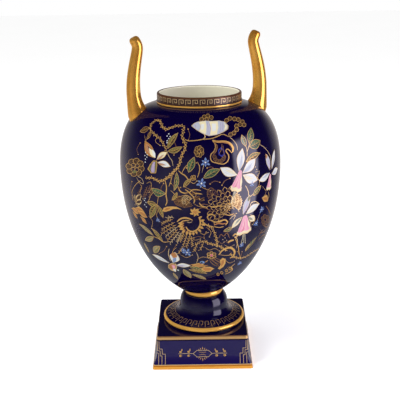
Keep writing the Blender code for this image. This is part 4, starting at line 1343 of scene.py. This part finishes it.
def build_foot():
    """The foot's skin: ring, gilt bead, banded flare, stem, shoulder and gilt collar, hollow underneath."""
    skin = Skin()
    count = SIDE_COLUMNS
    ring = [Vector((RING_RADIUS, FOOT_BASE)), Vector((RING_RADIUS, RING_TOP))]
    rim_low, rim_high = Vector((RIM_RADIUS, RING_TOP)), Vector((RIM_RADIUS, BEAD_TOP))
    turn(skin, ring, "cobalt", count, FOOT_SHIFT)
    turn(skin, [ring[1], rim_low], "cobalt", count, FOOT_SHIFT)
    turn(skin, bead(rim_low, rim_high, RIM_BULGE, BEAD_STEPS), "bright_gilt", count, FOOT_SHIFT)
    from_rim, below_stem = towards(math.radians(166.0), 0.0098), Vector((0.0, -0.0086))
    stem = Vector((STEM_RADIUS, FLARE_EDGE))
    flare = cubic(rim_high, from_rim, below_stem, stem, FLARE_LINES)
    shoulder = []
    for step in range(SHOULDER_LINES + 1):
        angle = math.pi / 2.0 * step / SHOULDER_LINES
        across = COLLAR_CORE + (STEM_RADIUS - COLLAR_CORE) * math.cos(angle)
        shoulder.append(Vector((across, FLARE_EDGE + (STEM_TOP - FLARE_EDGE) * math.sin(angle))))
    side = Wheel([p.copy() for p in flare] + shoulder[1:], FOOT_SHIFT)
    keys = Painting(side)
    hook = ((0.16, 0.0), (0.16, 1.0), (0.74, 1.0), (0.74, 0.35), (0.50, 0.35))
    key_pattern(keys, hook, FOOT_KEYS, side.ups[FOOT_KEY_FROM], side.ups[FOOT_KEY_TO], FOOT_KEY_HALF,
                "gilt")
    lay(skin, keys, side.columns(count), side.rows(FOOT_ROW), "cobalt", put_wheel(side))
    collar_low, collar_high = Vector((COLLAR_CORE, STEM_TOP)), Vector((COLLAR_CORE, FOOT_TOP))
    turn(skin, bead(collar_low, collar_high, COLLAR_BULGE, BEAD_STEPS), "bright_gilt", count, FOOT_SHIFT)
    turn(skin, [collar_high, Vector((0.0, FOOT_TOP))], "biscuit", count, FOOT_SHIFT)
    roof = STEM_TOP - FOOT_ROOF
    hollow = [Vector((0.0, roof)), Vector((FOOT_BORE, roof)), Vector((FOOT_BORE, FOOT_BASE)), ring[0]]
    for low, high in zip(hollow, hollow[1:]):
        turn(skin, [low, high], "biscuit", count, FOOT_SHIFT)
    skin.piece("foot", "pedestal_foot")


def plinth_ornament(art, middle):
    """The gilt figure on a side: a lozenge with palmettes, on a line with pairs of round leaves.

    Its sizes are in millimetres from its own middle.
    """
    def here(x, z):
        return complex(middle + x * MM, (z + FIGURE_MIDDLE) * MM)

    for hand in (1, -1):
        art.line([here(hand * 8.4, 0.0), here(hand * 15.0, 0.2), here(hand * 22.4, 0.0)], 0.38, "pale_gilt",
                 thin=0.8)
        edge = [here(x, hand * z) for x, z in ((-8.7, 0.0), (-5.2, 3.2), (0.0, 2.8), (5.2, 3.2),
                                               (8.7, 0.0))]
        square_line(art, edge, FIGURE_LINE, "pale_gilt")
        art.line([here(-3.4, hand * 1.5), here(0.0, hand * 0.9), here(3.4, hand * 1.5)], 0.30, "gilt")
        for i in range(-2, 3):
            way = cmath.exp(1j * hand * (math.pi / 2 - i * 0.42))
            root = here(i * 1.3, hand * (3.7 - 0.2 * abs(i)))
            art.blade(root, root + way * 0.0032 * (1.0 - 0.2 * abs(i)), 0.24, "gilt", steps=6)
        for x in (12.8, 20.2):
            for rise in (1.9, -1.9):
                art.dot(here(hand * x, rise), 2.5, "gilt", 0.84, corners=10)
                art.dot(here(hand * (x - 0.5), rise), 0.9, "face_cobalt", corners=6)
            art.blade(here(hand * (x - 0.9), 2.4), here(hand * (x - 1.4), 5.2), 0.36, "gilt")


def corner_brackets(art, corner, hand, reach):
    """Stepped lines beside a corner, each step further from it towards the ground, and upright below."""
    def here(x, z):
        widening = art.surface.half(z * MM) / art.surface.half(FLARE_TOP)
        return complex(corner + hand * (reach - (reach - x * MM) / widening), z * MM)

    outer = ((1.9, 27.4), (1.9, 19.0), (4.6, 19.0), (4.6, 13.8), (7.3, 13.8), (7.3, 10.6), (7.3, 7.6),
             (7.3, 5.0))
    inner = ((0.2, 27.4), (0.2, 17.2), (2.6, 17.2), (2.6, 12.2), (4.2, 12.2), (4.2, 8.6), (4.2, 5.0))
    third = ((-1.0, 14.6), (1.2, 14.6), (1.2, 11.0), (1.2, 8.0), (1.2, 5.0))
    for steps in (outer, inner, third):
        square_line(art, [here(x, z) for x, z in steps], BRACKET_LINE, "pale_gilt")


def build_plinth():
    """The plinth's skin: gilt flange with a band of painted shade and a painted highlight line, cobalt
    flare, faces with gilt figures, gilt band with a brown top edge of painted reflection, and cobalt top.
    """
    skin = Skin()
    sides = Moulding()
    art = Painting(sides)
    side_length = sides.straight + sides.arc
    for side in (-1, 0, 1):
        plinth_ornament(art, side * side_length)
    for side in (-2, -1, 0, 1):
        corner = (side + 0.5) * side_length
        for hand in (1, -1):
            corner_brackets(art, corner, hand, side_length / 2.0)
    heights = [0.0, FLANGE_SHADE_FOOT, FLANGE_HIGHLIGHT_FOOT, FLANGE_TOP]
    heights += [FLANGE_TOP + (FLARE_TOP - FLANGE_TOP) * i / FLARE_STEPS for i in range(1, FLARE_STEPS + 1)]
    heights += [*FACE_LINES, FACE_TOP, GILT_BAND_FOOT, GILT_BAND_EDGE, PLINTH_TOP]

    def put(skin, corners, triangles, inks):
        # The flange's gilding is painted darker in its middle band as painted shade, with a pale painted
        # highlight line above it
        zones = ((0.0, FLANGE_SHADE_FOOT, "flange_gilt"), (FLANGE_SHADE_FOOT, FLANGE_HIGHLIGHT_FOOT, "deep_gilt"),
                 (FLANGE_HIGHLIGHT_FOOT, FLANGE_TOP, "pale_gilt"), (FLANGE_TOP, FLARE_TOP, None),
                 (FLARE_TOP, FACE_TOP, None), (FACE_TOP, GILT_BAND_FOOT, "cobalt"),
                 # The gilt band's top edge is painted brown: a painted reflection of the dark it faces
                 (GILT_BAND_FOOT, GILT_BAND_EDGE, "band_gilt"), (GILT_BAND_EDGE, PLINTH_TOP, "brown_gilt"))
        for low, high, ground in zones:
            chosen = []
            for face, ink in zip(triangles, inks):
                middle = sum(corners[i].y for i in face) / 3.0
                if low < middle < high:
                    chosen.append((face, ground or ink))
            points, normals, faces, seen = [], [], [], {}
            for face, _ink in chosen:
                for i in face:
                    if i not in seen:
                        seen[i] = len(points)
                        place, normal = sides.place(corners[i].x, corners[i].y)
                        z = corners[i].y
                        if low == FLANGE_TOP:
                            share = (z - FLANGE_TOP) / (FLARE_TOP - FLANGE_TOP)
                            lean = 2.0 * PLINTH_FLARE_SPREAD * (1.0 - share) / (FLARE_TOP - FLANGE_TOP)
                        else:
                            lean = sides.slope(low, high)
                        points.append(place)
                        normals.append((normal + Vector((0.0, 0.0, lean))).normalized())
                faces.append([seen[i] for i in face])
            skin.sheet(points, normals, faces, [ink for _face, ink in chosen])

    columns = sides.columns()
    lay(skin, art, columns, heights, "face_cobalt", put, range(len(heights)))
    top = [sides.place(x, PLINTH_TOP)[0] for x in columns[:-1]]
    centre = Vector((PLINTH_SHIFT, 0.0, PLINTH_TOP))
    fan = [[i, (i + 1) % len(top), len(top)] for i in range(len(top))]
    skin.sheet(top + [centre], [(0.0, 0.0, 1.0)] * (len(top) + 1), fan, ["cobalt"] * len(fan))

    bottom = [sides.place(x, 0.0)[0] for x in columns[:-1]]
    wall = PLINTH_FACE_HALF - PLINTH_WALL
    roof = PLINTH_TOP - PLINTH_WALL
    well = [Vector((PLINTH_SHIFT + max(-wall, min(wall, p.x - PLINTH_SHIFT)), max(-wall, min(wall, p.y)),
                    0.0)) for p in bottom]
    count = len(bottom)
    rim = [[(i + 1) % count, i, count + i, count + (i + 1) % count] for i in range(count)]
    skin.sheet(bottom + well, [(0.0, 0.0, -1.0)] * (2 * count), rim, ["biscuit"] * count)
    corners = [Vector((PLINTH_SHIFT + x * wall, y * wall, z)) for z in (0.0, roof) for x,
               y in ((-1, -1), (1, -1), (1, 1), (-1, 1))]
    for i in range(4):
        j = (i + 1) % 4
        low, high = corners[i], corners[j]
        edge = [p for p in well if abs((p - low).cross(high - low).length) < 1e-9]
        edge.sort(key=lambda p: (p - low).length)
        ring = [p for k, p in enumerate(edge) if k == 0 or (p - edge[k - 1]).length > 1e-6]
        inward = Vector((0, 0, 1)).cross(high - low).normalized()
        points = ring + [corners[j + 4], corners[i + 4]]
        skin.sheet(points, [tuple(inward)] * len(points), [list(range(len(points)))[::-1]], ["biscuit"])
    skin.sheet(corners[4:], [(0.0, 0.0, -1.0)] * 4, [[3, 2, 1, 0]], ["biscuit"])
    skin.piece("plinth_body", "plinth")


def horn_line():
    """The horn's root, its direction there, its middle line and the throat's index in the line."""
    fine = bowl_outline(200, 1)
    height = min(fine, key=lambda p: abs(p.x - HORN_DISTANCE) + (10.0 if p.y < BELLY.y else 0.0)).y
    root = Vector((HORN_DISTANCE, height))
    throat = root + STALK_SPAN
    tip = throat + CURL_SPAN
    rising = towards(math.radians(72.0), 1.0)
    leaning = towards(math.radians(64.0), 1.0)
    from_root, below_throat = rising * 0.0249, Vector((0.0, -0.0062))
    above_throat, before_tip = Vector((0.0, 0.0038)), -leaning * 0.0038
    stalk = cubic(root, from_root, below_throat, throat, STALK_STEPS)
    curl = cubic(throat, above_throat, before_tip, tip, CURL_STEPS)
    return root, rising, [p.copy() for p in stalk] + [p.copy() for p in curl[1:]], len(stalk) - 1


def horn_width(rise, throat, length):
    """The horn's radius at a distance along it from its root, with a spread root and a rounded tip."""
    if rise < throat:
        radius = ROOT_RADIUS + (THROAT_RADIUS - ROOT_RADIUS) * max(rise, 0.0) / throat
    else:
        radius = THROAT_RADIUS + (TIP_RADIUS - THROAT_RADIUS) * (rise - throat) / (length - throat)
    radius += ROOT_SPREAD * max(0.0, 1.0 - max(rise, 0.0) / ROOT_SPREAD_LENGTH) ** 2
    to_end = length - rise
    if to_end < TIP_ROUNDING:
        share = 1.0 - to_end / TIP_ROUNDING
        radius *= 0.42 + 0.58 * math.sqrt(max(0.0, 1.0 - share**2))
    return radius


def build_horn(name, quarter):
    """One gilded horn, whose root ends inside the bowl's wall."""
    root, rising, line, throat_index = horn_line()
    runs = [0.0]
    for before, after in zip(line, line[1:]):
        runs.append(runs[-1] + (after - before).length)
    length, throat = runs[-1], runs[throat_index]
    dome = [length - TIP_ROUNDING * (1.0 - math.sin(math.radians(a))) for a in range(0, 91, 9)]
    even = [length * i / HORN_STEPS for i in range(HORN_STEPS + 1)]
    stops = [stop for stop in even if stop < dome[0] - DOME_GAP] + dome
    bm = bmesh.new()
    stand = (Matrix.Translation((HORN_SHIFT, 0.0, 0.0)) @ Matrix.Translation((0.0, 0.0, root.y))
             @ Matrix.Rotation(HORN_LEAN, 4, "Y") @ Matrix.Translation((0.0, 0.0, -root.y))
             @ Matrix.Rotation(VASE_TURN + quarter, 4, "Z"))

    def ring_point(stop, angle):
        """A point of the horn's surface."""
        if stop <= 0.0:
            centre, along = root + rising * stop, rising
        else:
            after = max(1, next((i for i, run in enumerate(runs) if run >= stop), len(runs) - 1))
            share = (stop - runs[after - 1]) / (runs[after] - runs[after - 1])
            centre = line[after - 1].lerp(line[after], share)
            along = (line[min(after + 1, len(line) - 1)] - line[max(after - 2, 0)]).normalized()
        radius = horn_width(stop, throat, length)
        out = Vector((along.y, -along.x))
        return stand @ Vector((centre.x + out.x * radius * math.cos(angle), radius * math.sin(angle),
                               centre.y + out.y * radius * math.cos(angle)))

    def depth(point):
        """How far outside the bowl a point is, or above the neck's foot."""
        radial = math.hypot(point.x, point.y)
        return radial - quick_radius(point.z) if point.z < NECK.y - NECK_MARGIN else point.z - NECK.y

    angles = [2.0 * math.pi * i / HORN_SIDES for i in range(HORN_SIDES)]
    starts = []
    for angle in angles:
        low, high = ROOT_SEARCH
        for _ in range(ROOT_HALVINGS):
            middle = (low + high) / 2.0
            if depth(ring_point(middle, angle)) < -ROOT_DEPTH:
                low = middle
            else:
                high = middle
        starts.append((low + high) / 2.0)
    rings = []
    for ring in range(BLEND_RINGS):
        share = ring / BLEND_RINGS
        rings.append([bm.verts.new(ring_point(s + (ROOT_BLEND - s) * share, a)) for s,
                      a in zip(starts, angles)])
    for stop in stops:
        if stop >= ROOT_BLEND:
            rings.append([bm.verts.new(ring_point(stop, a)) for a in angles])
    for low_ring, high_ring in zip(rings, rings[1:]):
        for i in range(HORN_SIDES):
            j = (i + 1) % HORN_SIDES
            bm.faces.new([low_ring[i], low_ring[j], high_ring[j], high_ring[i]])
    bm.faces.new(rings[0][::-1])
    bm.faces.new(rings[-1])
    bmesh.ops.recalc_face_normals(bm, faces=bm.faces)
    for face in bm.faces:
        face.smooth = len(face.verts) == 4
    mesh = bpy.data.meshes.new(name)
    bm.to_mesh(mesh)
    bm.free()
    mesh.materials.append(GOLD)
    made = bpy.data.objects.new(name, mesh)
    bpy.context.scene.collection.objects.link(made)
    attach(made, "root")


def area_light(name, place, aim, size, size_y, watts, colour=(1.0, 1.0, 1.0), in_gloss=True):
    """A softbox that points at a place."""
    lamp = bpy.data.lights.new(name, "AREA")
    lamp.shape = "RECTANGLE"
    lamp.size, lamp.size_y = size, size_y
    lamp.energy = watts
    lamp.color = colour
    made = bpy.data.objects.new(name, lamp)
    made.location = place
    made.rotation_euler = (Vector(aim) - Vector(place)).to_track_quat("-Z", "Y").to_euler()
    made.visible_glossy = in_gloss
    bpy.context.scene.collection.objects.link(made)
    return made


def soften(lamp):
    """Let a softbox's light fade towards its edges."""
    lamp.use_nodes = True
    tree = lamp.node_tree
    place, split = node(tree, "NewGeometry"), node(tree, "SeparateXYZ")
    joined = node(tree, "Math", operation="MULTIPLY")
    wire(tree, (place, "Parametric", split, "Vector"),
         (joined, "Value", tree.nodes["Emission"], "Strength"))
    for index, (output, margin) in enumerate((("X", 0.12), ("Y", 0.14))):
        away = node(tree, "Math", {1: 0.5}, operation="PINGPONG")
        share = node(tree, "MapRange", {"From Max": margin}, interpolation_type="SMOOTHSTEP")
        wire(tree, (split, output, away, 0), (away, "Value", share, "Value"),
             (share, "Result", joined, index))


def paper(name, painted_shade_patch):
    """White paper, or a grey patch of painted shade that fades away from its middle and stands for the
    floor's shade in reflections.
    """
    made = bpy.data.materials.new(name)
    made.use_nodes = True
    tree = made.node_tree
    shader = tree.nodes["Principled BSDF"]
    shader.inputs["Roughness"].default_value = 0.9
    shader.inputs["Specular IOR Level"].default_value = 0.0
    shader.inputs["Emission Color"].default_value = (1.0, 1.0, 1.0, 1.0)
    shader.inputs["Emission Strength"].default_value = 0.0 if painted_shade_patch else 0.16
    place = node(tree, "TexCoord")
    fibres = node(tree, "TexNoise", {"Scale": 3.0})
    # The near patch's grey is painted shade: the floor's shade as reflections show it
    white = 0.40 if painted_shade_patch else 0.95
    tone = ramp(tree, ((0.0, (white - 0.02,) * 3), (1.0, (white + 0.01,) * 3)))
    wire(tree, (place, "Object", fibres, "Vector"), (fibres, "Fac", tone, "Fac"),
         (tone, "Color", shader, "Base Color"))
    if painted_shade_patch:
        far = node(tree, "VectorMath", operation="LENGTH")
        fade = node(tree, "MapRange", {"From Min": 0.12, "From Max": 0.34, "To Min": 1.0, "To Max": 0.0},
                    interpolation_type="SMOOTHSTEP")
        wire(tree, (place, "Object", far, 0), (far, "Value", fade, "Value"),
             (fade, "Result", shader, "Alpha"))
    return made


def lay_floors():
    """A floor for the camera and, for reflections only, a near grey one of painted shade that fades away.
    """
    for name, reach, in_gloss in (("floor", 6.0, False), ("near_floor_painted_shade", 0.4, True)):
        mesh = bpy.data.meshes.new(name)
        corners = [(x * reach, y * reach, FLOOR_HEIGHT) for x, y in ((-1, -1), (1, -1), (1, 1), (-1, 1))]
        mesh.from_pydata(corners, [], [(0, 1, 2, 3)])
        floor = bpy.data.objects.new(name, mesh)
        bpy.context.scene.collection.objects.link(floor)
        mesh.materials.append(paper(name, in_gloss))
        floor.visible_glossy = in_gloss
        for rays in ("visible_camera", "visible_diffuse", "visible_shadow"):
            setattr(floor, rays, not in_gloss)


def studio():
    """A pale floor and surroundings, dark towards the camera in reflections, with softboxes."""
    lay_floors()
    world = bpy.data.worlds.new("studio")
    bpy.context.scene.world = world
    world.use_nodes = True
    tree = world.node_tree
    tree.nodes.clear()
    out = node(tree, "OutputWorld")
    place, split = node(tree, "TexCoord"), node(tree, "SeparateXYZ")

    def curve(output, stops):
        """A curve over one of the direction's components, from -1 to 1."""
        spread = node(tree, "MapRange", {"From Min": -1.0})
        values = ramp(tree, [(position / 2.0 + 0.5, (value,) * 3) for position, value in stops])
        wire(tree, (split, output, spread, "Value"), (spread, "Result", values, "Fac"))
        return values.outputs["Color"]

    def join(operation, *terms):
        """A sum or product of two of these curves."""
        joined = node(tree, "Math", operation=operation)
        for entry, term in zip(joined.inputs, terms):
            tree.links.new(term, entry)
        return joined.outputs["Value"]

    high = curve("Z", ((-0.70, 0.0), (-0.40, 0.55), (0.0, 0.30), (0.30, 0.08), (0.60, 0.0)))
    beside = curve("X", ((-0.95, 0.60), (-0.75, 1.20), (-0.35, 1.05), (0.10, 0.45), (0.60, 0.30),
                         (0.95, 0.10)))
    behind = join("MULTIPLY", curve("Y", ((0.50, 0.0), (0.97, 0.62))),
                  curve("Z", ((0.10, 1.0), (0.40, 0.0))))
    behind = join("MULTIPLY", behind, curve("X", ((-0.40, 0.22), (0.40, 1.10))))
    total = join("ADD", join("MULTIPLY", high, beside), behind)
    gloss = node(tree, "Background", {"Color": (1.0, 0.91, 0.87, 1.0)})
    tree.links.new(total, gloss.inputs["Strength"])
    pale = node(tree, "Background", {"Strength": 1.06})
    backdrop = node(tree, "Background", {"Color": (1.0, 1.0, 1.0, 1.0)})
    ray = node(tree, "LightPath")
    first, second = node(tree, "MixShader"), node(tree, "MixShader")
    wire(tree, (place, "Generated", split, "Vector"), (ray, "Is Glossy Ray", first, "Fac"),
         (pale, "Background", first, 1), (gloss, "Background", first, 2),
         (ray, "Is Camera Ray", second, "Fac"), (first, "Shader", second, 1),
         (backdrop, "Background", second, 2), (second, "Shader", out, "Surface"))

    area_light("key", (-0.9, -0.5, 1.3), (0.0, 0.0, 0.15), 0.7, 0.7, 16.0, in_gloss=False)
    softbox = area_light("tall_softbox", (0.58, -0.285, 0.04), (0.0, 0.0, 0.04), 0.51, 1.08, 7.2,
                         (0.86, 0.80, 1.0))
    soften(softbox.data)


def place_camera():
    """The photograph's viewpoint."""
    data = bpy.data.cameras.new("camera")
    data.sensor_width = SENSOR
    data.lens = FOCAL_PIXELS * SENSOR / (2.0 * HALF_PICTURE)
    data.clip_start = 0.01
    camera = bpy.data.objects.new("camera", data)
    half_pixel = 0.5 / FOCAL_PIXELS
    aim = Matrix.Rotation(half_pixel, 4, "Z") @ Matrix.Rotation(math.pi / 2.0 - PITCH + half_pixel, 4, "X")
    camera.matrix_world = Matrix.Translation(CAMERA) @ aim @ Matrix.Rotation(-ROLL, 4, "Z")
    bpy.context.scene.collection.objects.link(camera)
    bpy.context.scene.camera = camera


GOLD = horn_gold()
place_camera()
build_bowl()
build_foot()
build_plinth()
build_horn("handle_right", 0.0)
build_horn("handle_left", math.pi)
studio()
bpy.context.scene.view_settings.view_transform = "Standard"
